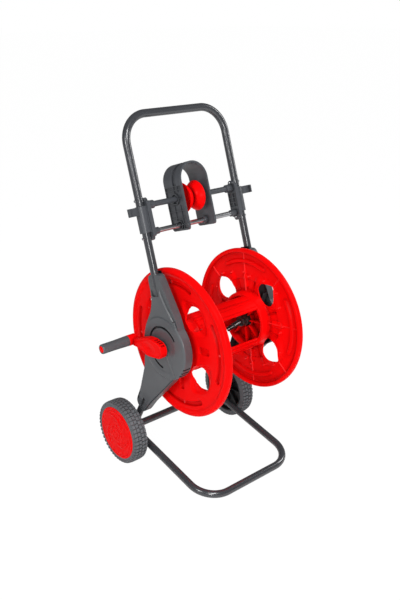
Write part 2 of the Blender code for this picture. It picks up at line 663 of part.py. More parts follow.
def make_clamp(side, sign):
    def bar(name, radius, first, last, height, sides=16, group=CUTTERS):
        low, high = span(first, last, sign)
        spot = (0, 0, height)
        return cylinder(f"{side}_{name}", radius, low, high, sides, spot, parent=LEANING, group=group)

    def block(name, first, last, near, far, low, high):
        left, right = span(first, last, sign)
        return box(f"{side}_{name}", (left, near, low), (right, far, high), parent=LEANING, group=CUTTERS)

    def bore(name):
        return cylinder(f"{side}_{name}", TUBE_CLEAR, -0.12, 0.05, 20, leg, UNTURNED, LEANING, CUTTERS)

    leg = (sign * LEG_X, 0, 0)
    thickness = 0.1500 - CLAMP_FACE
    middle = (sign * (CLAMP_FACE + thickness / 2), 0, 0)
    plate = outline_solid(f"{side}_clamp_plate", clamp_outline(), thickness, middle, SIDEWAYS, LEANING)
    join(
        plate,
        bar("upper_socket", 0.0105, SOCKET_END, 0.1400, 0),
        bar("lower_socket", 0.0088, SOCKET_END, 0.1400, LOWER_ROD),
    )
    cut(
        plate,
        bar("upper_socket_bore", UPPER_ROD_RADIUS + 0.0003, 0.11, ROD_END + 0.0003, 0),
        bar("lower_socket_bore", LOWER_ROD_RADIUS + 0.0003, 0.11, ROD_END + 0.0003, LOWER_ROD),
        bore("plate_bore"),
    )
    sleeve = cylinder(f"{side}_clamp_sleeve", 0.0145, -0.0660, 0.0, 20, leg, UNTURNED, LEANING)
    join(
        sleeve,
        block("hook_tab", 0.1700, 0.2020, -0.0075, -0.0045, -0.0215, -0.0010),
        block("hook_lip", 0.1990, 0.2020, -0.0135, -0.0045, -0.0215, -0.0010),
    )
    cut(sleeve, block("sleeve_split", 0.13, 0.1503, -0.05, 0.05, -0.1, 0.05), bore("sleeve_bore"))
    finish(plate, "fitting")
    finish(sleeve, "fitting")
    for name, height in zip(("upper", "lower"), CLAMP_SCREWS):
        cut(plate, bar(f"{name}_clamp_bore", SCREW_HOLE, 0.12, 0.16, height, 12))
        make_clamp_screw(f"{side}_{name}", sign, (0, 0, height))


def make_clamp_screw(name, sign, spot):
    """A screw from the rods' side through the leg, with its nut on the outer side of the leg."""
    seat = CLAMP_FACE - GAP
    top = seat - 0.0025
    profile = [(0, 0.1742), (0.0020, 0.1742), (0.0020, seat), (0.0033, seat), (0.0033, top), (0, top)]
    finish(turned(f"{name}_clamp_screw", facing(profile, sign), 12, False, spot, parent=LEANING), "steel")
    profile = [(0.0038, 0.1728), (0.0038, 0.1699), (0.0026, 0.1699), (0.0026, 0.1728)]
    finish(turned(f"{name}_clamp_nut", facing(profile, sign), 6, True, spot, parent=LEANING), "steel")


# ---------------------------------------------------------------- assembly
make_handle()
make_base()
make_axle()
make_drum_slats()
make_crank_shaft()
make_crank()
make_water_way()
make_rods()
make_guide()
for each_side, each_sign in SIDES:
    make_side_plate(each_side, each_sign)
    make_plate_screws(each_side, each_sign)
    make_bearing(each_side, each_sign)
    make_flange(each_side, each_sign)
    make_wheel(each_side, each_sign)
    make_clamp(each_side, each_sign)
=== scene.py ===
"""Garden hose reel cart: the visual model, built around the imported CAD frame.

Metres, +Z up. +X points to the water inlet side, the crank is on -X, and +Y points back to the wheels.
"""

from math import acos, atan, atan2, ceil, cos, hypot, pi, radians, sin, tan

import bmesh
import bpy
import numpy as np
from mathutils import Matrix, Vector
from mathutils.geometry import delaunay_2d_cdt


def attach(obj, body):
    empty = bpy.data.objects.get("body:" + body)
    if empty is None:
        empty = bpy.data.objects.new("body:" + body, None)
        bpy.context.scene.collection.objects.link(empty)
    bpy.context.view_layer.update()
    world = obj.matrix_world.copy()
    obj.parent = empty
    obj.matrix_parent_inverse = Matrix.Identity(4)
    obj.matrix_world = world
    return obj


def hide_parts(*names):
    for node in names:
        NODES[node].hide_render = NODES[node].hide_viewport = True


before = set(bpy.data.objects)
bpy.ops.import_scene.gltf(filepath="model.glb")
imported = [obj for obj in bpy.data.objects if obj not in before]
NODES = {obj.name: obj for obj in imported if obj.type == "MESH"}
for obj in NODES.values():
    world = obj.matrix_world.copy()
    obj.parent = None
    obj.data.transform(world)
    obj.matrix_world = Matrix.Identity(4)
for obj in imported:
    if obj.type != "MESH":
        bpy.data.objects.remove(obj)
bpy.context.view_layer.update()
SCENE = bpy.context.scene
SIDES = (("left", -1), ("right", 1))

# ---------------------------------------------------------------- the frame's dimensions
TUBE_RADIUS = 0.01
BEND_RADIUS = 0.07
LEG_X, BASE_X = 0.1592, 0.1576
LEAN = atan(0.32)
ROD_Y, ROD_Z = 0.2505, 0.7415
BASE_CORNER = (0.3294, 0.0782)
RISER = Vector((-0.483, 0.8756)).normalized()
REEL = (0.1529, 0.3972)
AXLE = (0.3163, 0.0914)
GRIP = (REEL[0] + 0.114, REEL[1] - 0.01)
GUIDE_X = -0.0055
LOWER_ROD = -0.0661

# Local (x, back, up along the legs) of the leaning fittings, to the cart's frame.
LEANING = Matrix.Translation((0, ROD_Y, ROD_Z)) @ Matrix.Rotation(-LEAN, 4, "X")


# ---------------------------------------------------------------- materials
def material(name, colour, roughness, metallic=0.0, grain=900.0, bump=0.06, mottle=0.1, stretch=(1, 1, 1),
             specular=0.5, reach=0.012, depth=1.6):
    """A moulded, coated or rolled surface: fine grain, colour drift, uneven gloss and painted shade in
    crevices.
    """
    made = bpy.data.materials.new(name)
    made.use_nodes = True
    tree = made.node_tree
    shader = tree.nodes["Principled BSDF"]
    shader.inputs["Metallic"].default_value = metallic
    shader.inputs["Specular IOR Level"].default_value = specular

    def node(kind, **values):
        new = tree.nodes.new(kind)
        for key, value in values.items():
            if key in new.inputs:
                new.inputs[key].default_value = value
            else:
                setattr(new, key, value)
        return new

    def link(a, output, b, entry):
        tree.links.new(a.outputs[output], b.inputs[entry])

    place = node("ShaderNodeTexCoord")
    scaled = node("ShaderNodeMapping", Scale=stretch)
    link(place, "Object", scaled, "Vector")
    drift = node("ShaderNodeTexNoise", Scale=14.0, Detail=4.0)
    fine = node("ShaderNodeTexNoise", Scale=grain, Detail=2.0)
    for noise in (drift, fine):
        link(scaled, "Vector", noise, "Vector")
    blend = node("ShaderNodeValToRGB")
    low, high = blend.color_ramp.elements
    low.position, high.position = 0.3, 0.7
    low.color = (*[c * (1 - mottle) for c in colour], 1)
    high.color = (*[min(1, c * (1 + mottle)) for c in colour], 1)
    link(drift, "Fac", blend, "Fac")
    # Painted shade: ambient occlusion within reach darkens the base colour, raised to the power depth, in
    # crevices, corners and recesses.
    painted_crevice_shade = node("ShaderNodeAmbientOcclusion", Distance=reach)
    painted_crevice_shade.samples = 8
    painted_crevice_shade.only_local = True
    power = node("ShaderNodeMath", operation="POWER")
    power.inputs[1].default_value = depth
    link(painted_crevice_shade, "AO", power, "Value")
    tint = node("ShaderNodeVectorMath", operation="SCALE")
    link(blend, "Color", tint, "Vector")
    link(power, "Value", tint, "Scale")
    link(tint, "Vector", shader, "Base Color")
    gloss = node("ShaderNodeMapRange", **{"To Min": roughness * 0.85, "To Max": min(1, roughness * 1.2)})
    link(fine, "Fac", gloss, "Value")
    link(gloss, "Result", shader, "Roughness")
    relief = node("ShaderNodeBump", Strength=bump, Distance=0.0004)
    link(fine, "Fac", relief, "Height")
    link(relief, "Normal", shader, "Normal")
    return made


# reach and depth set how far and how strongly each material's painted crevice shade darkens it.
MATERIALS = {
    "tube": material("powder_coat", (0.036, 0.038, 0.044), 0.22, grain=160, bump=0.0, specular=0.9),
    "plate": material("plate_plastic", (0.076, 0.081, 0.088), 0.36, grain=1100, bump=0.04, reach=0.01,
                      depth=1.3),
    "fitting": material("fitting_plastic", (0.06, 0.064, 0.073), 0.32, grain=1100, bump=0.04, reach=0.008,
                        depth=1.5),
    "red": material("red_plastic", (0.9, 0.0022, 0.0026), 0.28, grain=700, bump=0.02, mottle=0.03,
                    specular=0.03, reach=0.014, depth=1.3),
    # A lighter, glossier copy of the red with weaker painted crevice shade: a painted highlight for the
    # flange's ribs and pins.
    "red_painted_highlight": material("lighter_red_glint_paint", (0.92, 0.016, 0.017), 0.22, grain=700, bump=0.02, mottle=0.03,
                        specular=0.6, reach=0.002, depth=0.4),
    "tyre": material("tread_plastic", (0.128, 0.136, 0.147), 0.6, grain=800, bump=0.1, specular=0.3,
                     reach=0.004, depth=0.8),
    "wheel": material("wheel_plastic", (0.012, 0.013, 0.015), 0.42, bump=0.08, specular=0.4),
    "steel": material("plated_steel", (0.5, 0.51, 0.53), 0.28, 1.0, grain=400, bump=0.0, stretch=(0.1, 1, 1)),
    "black": material("black_plastic", (0.015, 0.024, 0.023), 0.26, bump=0.03, specular=0.9),
    "rubber": material("seal_rubber", (0.018, 0.018, 0.018), 0.8, grain=600, bump=0.2),
    # Near-black paint for sheets set where there is only shade: a painted shadow.
    "shadow": material("painted_socket_shadow", (0.004, 0.004, 0.005), 0.8, grain=600, bump=0.1, specular=0.1),
}


# ---------------------------------------------------------------- mesh helpers
def add_object(name, data):
    obj = bpy.data.objects.new(name, data)
    SCENE.collection.objects.link(obj)
    return obj


def mesh_object(name, verts, faces):
    mesh = bpy.data.meshes.new(name)
    mesh.from_pydata([tuple(v) for v in verts], [], faces)
    work = bmesh.new()
    work.from_mesh(mesh)
    bmesh.ops.remove_doubles(work, verts=work.verts, dist=0.000002)
    bmesh.ops.recalc_face_normals(work, faces=work.faces)
    work.to_mesh(mesh)
    work.free()
    return add_object(name, mesh)


def settle(obj):
    """Applies the piece's modifiers to its mesh."""
    bpy.context.view_layer.update()
    graph = bpy.context.evaluated_depsgraph_get()
    shaped = obj.evaluated_get(graph)
    mesh = bpy.data.meshes.new_from_object(shaped, preserve_all_data_layers=True, depsgraph=graph)
    obj.modifiers.clear()
    obj.data = mesh


def combine(obj, tools, operation="DIFFERENCE"):
    """Cuts the tools out of the piece, or joins them to it."""
    for tool in tools:
        step = obj.modifiers.new("step", "BOOLEAN")
        step.operation = operation
        step.solver = "EXACT"
        step.object = tool
    settle(obj)
    for tool in tools:
        bpy.data.objects.remove(tool, do_unlink=True)


def merge(obj, others):
    """Adds other pieces' meshes to this one as loose shells."""
    work = bmesh.new()
    work.from_mesh(obj.data)
    for other in others:
        work.from_mesh(other.data)
        bpy.data.objects.remove(other, do_unlink=True)
    work.to_mesh(obj.data)
    work.free()
    return obj


def dress(obj, kind, body, replaces=(), bevel=0.0, extras=(), crease=38, name=None):
    """Rounds the edges, adds the extra shells, shades it all, gives it its material, ties it to its CAD body
    and hides the CAD nodes it replaces.
    """
    if bevel:
        step = obj.modifiers.new("edges", "BEVEL")
        step.width = bevel
        step.segments = 2
        step.limit_method = "ANGLE"
        step.angle_limit = radians(32)
        settle(obj)
    merge(obj, extras)
    obj.data.shade_smooth()
    obj.data.set_sharp_from_angle(angle=radians(crease))
    obj.modifiers.new("normals", "WEIGHTED_NORMAL").keep_sharp = True
    settle(obj)
    obj.name = name or obj.name
    obj.data.materials.clear()
    obj.data.materials.append(MATERIALS[kind])
    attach(obj, body)
    if replaces:
        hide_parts(*replaces)


def lathe(name, profile, centre=(0.0, 0.0), sign=1, steps=96, matrix=Matrix()):
    """A closed profile of (radius, x) points turned about the X axis through centre."""
    verts, rings, faces = [], [], []
    for radius, x in profile:
        count = steps if radius else 1
        rings.append(range(len(verts), len(verts) + count))
        for i in range(count):
            turn = 2 * pi * i / steps
            spot = Vector((sign * x, centre[0] - radius * cos(turn), centre[1] + radius * sin(turn)))
            verts.append(matrix @ spot)
    for a, b in zip(rings, rings[1:] + rings[:1]):
        for i in range(steps):
            j = i + 1
            corners = (a[i % len(a)], b[i % len(b)], b[j % len(b)], a[j % len(a)])
            face = tuple(dict.fromkeys(corners))
            if len(face) > 2:
                faces.append(face)
    return mesh_object(name, verts, faces)


def mm(*pairs):
    """Points given in millimetres."""
    return [(a / 1000, b / 1000) for a, b in pairs]


def leaning_at(up, x=0.0):
    return LEANING @ Matrix.Translation((x, 0, up))


def about(centre, angle):
    """A turn about the X axis through centre, in degrees."""
    return Matrix.Translation((0, *centre)) @ Matrix.Rotation(radians(angle), 4, "X")


def skin(count):
    """The faces between two loops of points, with both ends closed."""
    faces = [tuple(range(count)), tuple(range(count, 2 * count))]
    return faces + [(i, (i + 1) % count, count + (i + 1) % count, count + i) for i in range(count)]


# Where prisms stand: an outline's two axes and the way it is extruded, to the cart's frame.
ACROSS = Matrix(((0, 0, 1), (1, 0, 0), (0, 1, 0))).to_4x4()
LEANING_ACROSS = LEANING @ ACROSS
LEANING_ALONG = LEANING @ Matrix(((1, 0, 0), (0, 0, 1), (0, 1, 0))).to_4x4()


def prism(name, outline, low, high, matrix=ACROSS):
    verts = [matrix @ Vector((p, q, depth)) for depth in sorted((low, high)) for p, q in outline]
    return mesh_object(name, verts, skin(len(outline)))


BOX_FACES = (0, 1, 3, 2), (4, 6, 7, 5), (0, 4, 5, 1), (2, 3, 7, 6), (0, 2, 6, 4), (1, 5, 7, 3)


def block(name, low, high, matrix=Matrix()):
    """A box from corner to corner, used as a rib, a lug or a cutter."""
    xs = sorted((low[0], high[0]))
    verts = [matrix @ Vector((x, y, z)) for x in xs for y in (low[1], high[1]) for z in (low[2], high[2])]
    return mesh_object(name, verts, BOX_FACES)


def ridge(base, tip, inner, outer, half, matrix):
    """A radial rib on -Y, from x = base to a narrower crest at x = tip."""
    verts = [matrix @ Vector((x, y, z)) for x, w in ((base, half), (tip, 0.3 * half))
             for y in (-outer, -inner) for z in (-w, w)]
    return mesh_object("ridge", verts, BOX_FACES)


def rod(name, radius, start, end, steps=32, taper=None):
    """A round bar between two points."""
    start, end = Vector(start), Vector(end)
    along = (end - start).normalized()
    side = along.orthogonal().normalized()
    other = along.cross(side)
    turns = [2 * pi * i / steps for i in range(steps)]
    verts = [spot + side * r * cos(turn) + other * r * sin(turn)
             for spot, r in ((start, radius), (end, taper or radius)) for turn in turns]
    return mesh_object(name, verts, skin(steps))


def arc(centre, radius, start, end, steps):
    """Points on an arc, angles in degrees."""
    turns = [radians(start + (end - start) * i / steps) for i in range(steps + 1)]
    return [(centre[0] + radius * cos(t), centre[1] + radius * sin(t)) for t in turns]


def polar(radius, angle, centre=REEL):
    """(y, z) about an axis along X: 0 degrees to the front, 90 up."""
    return (centre[0] - radius * cos(radians(angle)), centre[1] + radius * sin(radians(angle)))


def circle(radius, step=3, centre=REEL):
    return [polar(radius, angle, centre) for angle in range(0, 360, step)]


def inset(outline, by):
    """A closed outline moved inwards along its normals."""
    spots = [Vector(p) for p in outline]
    moved = []
    for before, here, after in zip(spots[-1:] + spots, spots, spots[1:] + spots[:1]):
        ahead = (after - before).normalized()
        moved.append(here + Vector((-ahead.y, ahead.x)) * by)
    return moved


def capsule(path, half_width, steps=8):
    """A closed outline around an open path, with round ends."""
    spots = [Vector(p) for p in path]
    sides = []
    for before, after in zip(spots[:1] + spots, spots[1:] + spots[-1:]):
        ahead = (after - before).normalized()
        sides.append(Vector((-ahead.y, ahead.x)) * half_width)

    def cap(tip, side):
        start = atan2(side.y, side.x)
        turns = [start - pi * k / steps for k in range(1, steps)]
        return [tip + Vector((cos(turn), sin(turn))) * half_width for turn in turns]

    outline = [spot + side for spot, side in zip(spots, sides)] + cap(spots[-1], sides[-1])
    outline += [spot - side for spot, side in zip(spots[::-1], sides[::-1])] + cap(spots[0], -sides[0])
    return [tuple(p) for p in outline]


def rounded(points, passes=2):
    """A closed outline with its corners cut round."""
    for _ in range(passes):
        cut = []
        for a, b in zip(points, points[1:] + points[:1]):
            a, b = Vector(a), Vector(b)
            step = min(0.25, 0.006 / max((b - a).length, 1e-9))
            cut += [a.lerp(b, step), b.lerp(a, step)]
        points = [tuple(p) for p in cut]
    return points


def sweep(name, path, radius):
    """A round tube along a smooth path, its ends capped."""
    curve = bpy.data.curves.new(name, "CURVE")
    curve.dimensions = "3D"
    curve.bevel_depth = radius
    curve.bevel_resolution = 14
    curve.use_fill_caps = True
    spline = curve.splines.new("POLY")
    spline.points.add(len(path) - 1)
    for point, spot in zip(spline.points, path):
        point.co = (*spot, 1)
    drawn = add_object(f"{name}_path", curve)
    bpy.context.view_layer.update()
    mesh = bpy.data.meshes.new_from_object(drawn.evaluated_get(bpy.context.evaluated_depsgraph_get()))
    bpy.data.objects.remove(drawn, do_unlink=True)
    return add_object(name, mesh)


def bent_path(corners, radii, steps=20):
    """A path through corners with an arc of the given radius at each inner corner."""
    spots = [Vector(corner) for corner in corners]
    path = [spots[0]]
    for before, corner, after, radius in zip(spots, spots[1:], spots[2:], radii):
        back = (before - corner).normalized()
        ahead = (after - corner).normalized()
        half = acos(back.dot(ahead)) / 2
        centre = corner + (back + ahead).normalized() * radius / sin(half)
        start = corner + back * radius / tan(half) - centre
        end = corner + ahead * radius / tan(half) - centre
        over = (end - start.normalized() * end.dot(start.normalized())).normalized() * radius
        turns = [(pi - 2 * half) * i / steps for i in range(steps + 1)]
        path += [centre + start * cos(t) + over * sin(t) for t in turns]
    return path + [spots[-1]]


# ---------------------------------------------------------------- relief panels
def inside(points, outline):
    """Which of the points lie inside a closed outline."""
    x, y = points[:, 0], points[:, 1]
    hit = np.zeros(len(points), bool)
    for (ax, ay), (bx, by) in zip(outline, outline[1:] + outline[:1]):
        if ay == by:
            continue
        crosses = (ay > y) != (by > y)
        hit ^= crosses & (x < (bx - ax) * (y - ay) / (by - ay) + ax)
    return hit


def distance(points, path, closed=False):
    """How far each point is from a path."""
    path = list(path) + ([path[0]] if closed else [])
    best = np.full(len(points), 1e9)
    for a, b in zip(path, path[1:]):
        a, b = np.array(a), np.array(b)
        run = b - a
        t = np.clip(((points - a) @ run) / max(run @ run, 1e-18), 0, 1)
        best = np.minimum(best, np.linalg.norm(points - a - t[:, None] * run, axis=1))
    return best


def smoothstep(value):
    value = np.clip(value, 0, 1)
    return value * value * (3 - 2 * value)


def band(value, low, high, soft):
    """1 between low and high and 0 outside, with soft ends."""
    return smoothstep((value - low) / soft) * smoothstep((high - value) / soft)


def round_off(from_edge, radius):
    """How far a rounded edge falls away, as a share of its height."""
    return 1 - np.sqrt(1 - (1 - np.clip(from_edge / radius, 0, 1)) ** 2)


def plan(outline, lines, pitch, holes=()):
    """Triangles over a flat outline, with the lines as edges: its points and its triangles."""
    spots, edges = [], []

    def add(points, closed=True):
        start = len(spots)
        pairs = zip(points, points[1:] + points[:1]) if closed else zip(points, points[1:])
        for a, b in pairs:
            a, b = Vector(a), Vector(b)
            count = max(1, ceil((b - a).length / pitch))
            spots.extend(a.lerp(b, k / count) for k in range(count))
        if not closed:
            spots.append(Vector(points[-1]))
        last = len(spots)
        edges.extend((i, i + 1) for i in range(start, last - 1))
        if closed:
            edges.append((last - 1, start))
        return last

    rim = add(outline)
    for loop, closed in [*lines, *((hole, True) for hole in holes)]:
        add(loop, closed)
    border = [tuple(p) for p in spots[:rim]]
    xs, ys = [p[0] for p in border], [p[1] for p in border]
    grid = np.array([
        (min(xs) + pitch * (i + 0.5 * (j % 2)), min(ys) + pitch * 0.87 * j)
        for j in range(ceil((max(ys) - min(ys)) / (pitch * 0.87)) + 1)
        for i in range(ceil((max(xs) - min(xs)) / pitch) + 1)
    ])
    grid = grid[inside(grid, border)]
    fixed = np.array([tuple(p) for p in spots])
    clear = np.ones(len(grid), bool)
    for start in range(0, len(fixed), 400):
        part = fixed[start:start + 400]
        gap = np.linalg.norm(grid[:, None, :] - part[None], axis=2).min(axis=1)
        clear &= gap > pitch * 0.5
    spots.extend(Vector(p) for p in grid[clear])
    flat, _, triangles, *_ = delaunay_2d_cdt(spots, edges, [list(range(rim))], 1, 1e-6)
    points = np.array([tuple(p) for p in flat])
    middles = np.array([points[t].mean(axis=0) for t in triangles])
    solid = inside(middles, border)
    for hole in holes:
        solid &= ~inside(middles, hole)
    return trim(points, triangles, solid)


def trim(points, triangles, chosen):
    """The chosen triangles, and only the points that they use."""
    triangles = [tuple(t) for t, kept in zip(triangles, chosen) if kept]
    used = sorted({i for t in triangles for i in t})
    index = {i: k for k, i in enumerate(used)}
    return points[used], [tuple(index[i] for i in t) for t in triangles]


def open_edges(triangles):
    used = {}
    for tri in triangles:
        for a, b in zip(tri, tri[1:] + tri[:1]):
            used.setdefault((min(a, b), max(a, b)), []).append((a, b))
    return [found[0] for found in used.values() if len(found) == 1]


def sheet(name, outline, front, rear, pitch, lines=(), holes=(), sign=1):
    """A sheet with a sculpted front and rear, each given as its distance out, and holes through it."""
    points, triangles = plan(outline, lines, pitch, holes)
    count = len(points)
    verts = [(sign * d, *p) for depth in (front, rear) for p, d in zip(points, depth(points))]
    faces = triangles + [(a + count, c + count, b + count) for a, b, c in triangles]
    faces += [(a, b, b + count, a + count) for a, b in open_edges(triangles)]
    return mesh_object(name, verts, faces)


def relief(name, outline, height, back, pitch, lines=(), sign=1, pocket=((), 0)):
    """A solid panel with a sculpted face: height gives each face point's distance out, back is its rear edge.

    pocket is (inner outline, floor depth) of a hollow in the rear.
    """
    verts, faces = [], []

    def add(spots, depths, corners):
        start = len(verts)
        verts.extend((sign * d, *p) for p, d in zip(spots, depths))
        faces.extend(tuple(start + i for i in face) for face in corners)

    def add_wall(loop, near, far):
        n = len(loop)
        add([*loop, *loop], [*near, *far], [(k, (k + 1) % n, n + (k + 1) % n, n + k) for k in range(n)])

    points, triangles = plan(outline, lines, pitch)
    depths = height(points)
    add(points, depths, triangles)
    border = walk(open_edges(triangles))
    rim, inner, floor = [tuple(points[i]) for i in border], list(pocket[0]), pocket[1]
    add_wall(rim, depths[border], [back] * len(rim))
    add_wall(inner, [back] * len(inner), [floor] * len(inner))
    edges = [(start + k, start + (k + 1) % len(loop)) for start, loop in ((0, rim), (len(rim), inner))
             for k in range(len(loop))]
    flat, _, triangles, *_ = delaunay_2d_cdt([Vector(p) for p in rim + inner], edges, [], 1, 1e-7)
    base = np.array([tuple(p) for p in flat])
    middles = np.array([base[t].mean(axis=0) for t in triangles])
    sunk = inside(middles, inner)
    for level, chosen in ((back, inside(middles, rim) & ~sunk), (floor, sunk)):
        spots, corners = trim(base, triangles, chosen)
        add(spots, [level] * len(spots), corners)
    return mesh_object(name, verts, faces)


def walk(border):
    """The border's points in order."""
    after = dict(border)
    first = border[0][0]
    order, here = [first], after[first]
    while here != first:
        order.append(here)
        here = after[here]
    return order


# ---------------------------------------------------------------- frame tubes and axle
def leg_yz(forward, up):
    """(y, z) of a point forward of the legs and up along them, from the upper rod."""
    return (ROD_Y + up * sin(LEAN) - forward * cos(LEAN), ROD_Z + up * cos(LEAN) + forward * sin(LEAN))


def riser_yz(forward, up):
    """(y, z) of a point forward of the risers and up along them, from their lower corner."""
    return (
        BASE_CORNER[0] + up * RISER.x - forward * RISER.y,
        BASE_CORNER[1] + up * RISER.y + forward * RISER.x,
    )


def make_frame_tubes():
    corners = [LEANING @ Vector(p) for p in (
        (-LEG_X, 0, -0.2325), (-LEG_X, 0, 0.2209), (LEG_X, 0, 0.2209), (LEG_X, 0, -0.2325),
    )]
    handle = sweep("handle_bar", bent_path(corners, [BEND_RADIUS] * 2), 0.0101)
    dress(handle, "tube", "frame", ["handle_tube"])
    riser = Vector(BASE_CORNER) + RISER * 0.144
    corners = [
        (-BASE_X, *riser), (-BASE_X, *BASE_CORNER), (-BASE_X, 0, TUBE_RADIUS),
        (BASE_X, 0, TUBE_RADIUS), (BASE_X, *BASE_CORNER), (BASE_X, *riser),
    ]
    base = sweep("base_bar", bent_path(corners, [0.0242, BEND_RADIUS, BEND_RADIUS, 0.0242]), TUBE_RADIUS)
    dress(base, "tube", "frame", ["base_tube"])
    end = BASE_X - 0.0104
    profile = [(0.0096, end), (0.01, end - 0.0004), (0.01, 0.0004 - end), (0.0096, -end), (0.0088, -end),
               (0.0088, end)]
    dress(lathe("axle_sleeve", profile, AXLE, steps=48), "tube", "frame", ["axle_tube"])


# ---------------------------------------------------------------- side plates
PLATE_TOP = -0.1726
DISC_RADIUS = 0.0843
# Distances out from the cart's middle plane.
PLATE_FACE, PLATE_BACK, POCKET_FLOOR, CHANNEL_FLOOR = 0.1712, 0.1475, 0.1675, 0.149
# Angles of the disc rim's notches, which are not cut into the plate and are shown only by painted-shadow
# blades.
NOTCHES = (-24, -33, -42)


ARMS = rounded([
    leg_yz(0.02, PLATE_TOP), leg_yz(-0.0186, PLATE_TOP), leg_yz(-0.02, PLATE_TOP - 0.041),
    leg_yz(-0.024, PLATE_TOP - 0.065), leg_yz(-0.04, PLATE_TOP - 0.093),
    (REEL[0] + 0.08, REEL[1] + 0.03), (REEL[0] + 0.083, REEL[1] - 0.025), (0.24, 0.315),
    riser_yz(-0.02, 0.172), riser_yz(-0.016, 0.116), riser_yz(0.014, 0.111), riser_yz(0.021, 0.117),
    riser_yz(0.0296, 0.169), (REEL[0] - 0.03, REEL[1] - 0.0785), (REEL[0] - 0.07, REEL[1] + 0.02),
    leg_yz(0.053, PLATE_TOP - 0.107),
])


def plate_outline(margin=0.0):
    """The arms joined with the disc, as one outline seen from the reel's axis."""
    arms = inset([Vector(p) - Vector(REEL) for p in ARMS], margin)
    turns = [radians(t) for t in np.arange(-180, 180, 1.25)]
    turns += [atan2(p.y, -p.x) for p in arms]
    outline = []
    for turn in sorted(set(turns)):
        ray = Vector((-cos(turn), sin(turn)))
        reach = DISC_RADIUS - margin
        for a, b in zip(arms, arms[1:] + arms[:1]):
            edge = b - a
            cross = ray.x * edge.y - ray.y * edge.x
            if abs(cross) < 1e-12:
                continue
            along = (a.x * edge.y - a.y * edge.x) / cross
            share = (a.x * ray.y - a.y * ray.x) / cross
            if -1e-6 <= share <= 1 + 1e-6:
                reach = max(reach, along)
        outline.append((REEL[0] + ray.x * reach, REEL[1] + ray.y * reach))
    return outline


def grown(outline, by):
    """The outline moved outwards from its middle."""
    middle = sum((Vector(p) for p in outline), Vector((0, 0))) / len(outline)
    return [tuple(middle + (Vector(p) - middle) * (1 + by / (Vector(p) - middle).length)) for p in outline]


def arc_path(radius, first, last, steps=40):
    return [polar(radius, first + (last - first) * i / steps) for i in range(steps + 1)]


PLATE_GROOVES = (arc_path(0.056, 39, 164), arc_path(0.056, -130, -96, 14))
TUBE_CHANNEL = [leg_yz(forward, PLATE_TOP - down) for forward, down in (
    (-0.0162, -0.01), (0.015, -0.01), (0.015, 0.048), (0.011, 0.052), (-0.012, 0.052), (-0.0162, 0.048),
)]
TIP_SLOTS = ([riser_yz(0.008, 0.104), riser_yz(0.0085, 0.156)],
             [riser_yz(-0.0148, 0.11), riser_yz(-0.015, 0.158)])
CREASE = mm((133.7, 395.3), (125.7, 374.5), (112.1, 343.7), (112.6, 327.4))

# The neck's front skirt, as distances down the leg and forward of it.
SKIRT_EDGE = (0.1726, 0.218, 0.2475, 0.2765, 0.3), (0.015, 0.0172, 0.0268, 0.0406, 0.052)
SKIRT_RIM = (0.1726, 0.2786, 0.3), (0.0205, 0.0535, 0.06)


def skirt_line(share):
    """A crease of the neck's front skirt, from its edge (0) to its rim (1)."""
    line = []
    for down in np.arange(0.1735, 0.284, 0.004):
        edge, rim = np.interp(down, *SKIRT_EDGE), np.interp(down, *SKIRT_RIM)
        line.append(leg_yz(edge + share * (rim - edge), -down))
    return line


def plate_face(points):
    """The plate's outer face, as a distance from the cart's middle plane."""
    y, z = points[:, 0], points[:, 1]
    dy, dz = y - ROD_Y, z - ROD_Z
    up = dy * sin(LEAN) + dz * cos(LEAN)
    forward = dz * sin(LEAN) - dy * cos(LEAN)
    ry, rz = y - REEL[0], z - REEL[1]
    radius = np.hypot(ry, rz)
    turn = np.degrees(np.arctan2(rz, -ry))
    depth = np.full(len(points), PLATE_FACE)
    depth += 0.0016 * band(turn, -155, -60, 12) * smoothstep((radius - 0.06) / 0.01)
    upper = (up > -0.29) & (radius > 0.0835) & (turn > 20)
    edge = np.interp(-up, *SKIRT_EDGE)
    rim = np.interp(-up, *SKIRT_RIM)
    skirt = depth - np.interp((forward - edge) / (rim - edge), [0, 0.32, 1.1], [0, 0.01, 0.0245])
    depth = np.where(upper, np.minimum(depth, skirt), depth)
    shoulder = 0.1585 + 0.0135 * smoothstep((-up + PLATE_TOP) / 0.054)
    depth = np.where(up > -0.235, np.minimum(depth, shoulder), depth)
    disc = 1 - np.clip((radius - 0.0795) / 0.0035, 0, 1)
    depth += 0.0021 * disc * (1 - band(turn, -168, -48, 14))
    depth -= 0.0028 * upper * band(turn, 42, 72, 6) * smoothstep((0.09 - radius) / 0.004)
    depth -= 0.0014 * smoothstep((0.05 - radius) / 0.014) * smoothstep((turn + 30) / 40)
    panel_side = (z - 0.3437) * (0.1257 - 0.1121) - (y - 0.1121) * (0.3745 - 0.3437)
    behind = smoothstep(-panel_side / 0.0336 / 0.0014 + 0.5) * smoothstep((0.399 - z) / 0.008)
    depth += np.where(radius < 0.0812, 0.0016, 0) * behind * (1 - smoothstep((radius - 0.079) / 0.002))
    for path in PLATE_GROOVES:
        depth -= 0.006 * (1 - smoothstep((distance(points, path) - 0.0022) / 0.0008))
    depth = np.where(inside(points, TUBE_CHANNEL), np.minimum(depth, CHANNEL_FLOOR), depth)
    ahead, along = riser_forward(points)
    crown = np.clip(1 - ((ahead + 0.0035) / 0.0105) ** 2, 0, 1) * smoothstep((0.16 - along) / 0.012)
    depth += 0.0014 * crown - 0.003 * smoothstep((0.15 - along) / 0.035)
    for path in TIP_SLOTS:
        depth = np.where(distance(points, path) < 0.0017, np.minimum(depth, 0.152), depth)
    return depth - 0.0022 * round_off(distance(points, PLATE_RIM, closed=True), 0.003)


def riser_forward(points):
    """Forward of the risers, and up along them."""
    y, z = points[:, 0] - BASE_CORNER[0], points[:, 1] - BASE_CORNER[1]
    return y * -RISER.y + z * RISER.x, y * RISER.x + z * RISER.y


PLATE_RIM = plate_outline()


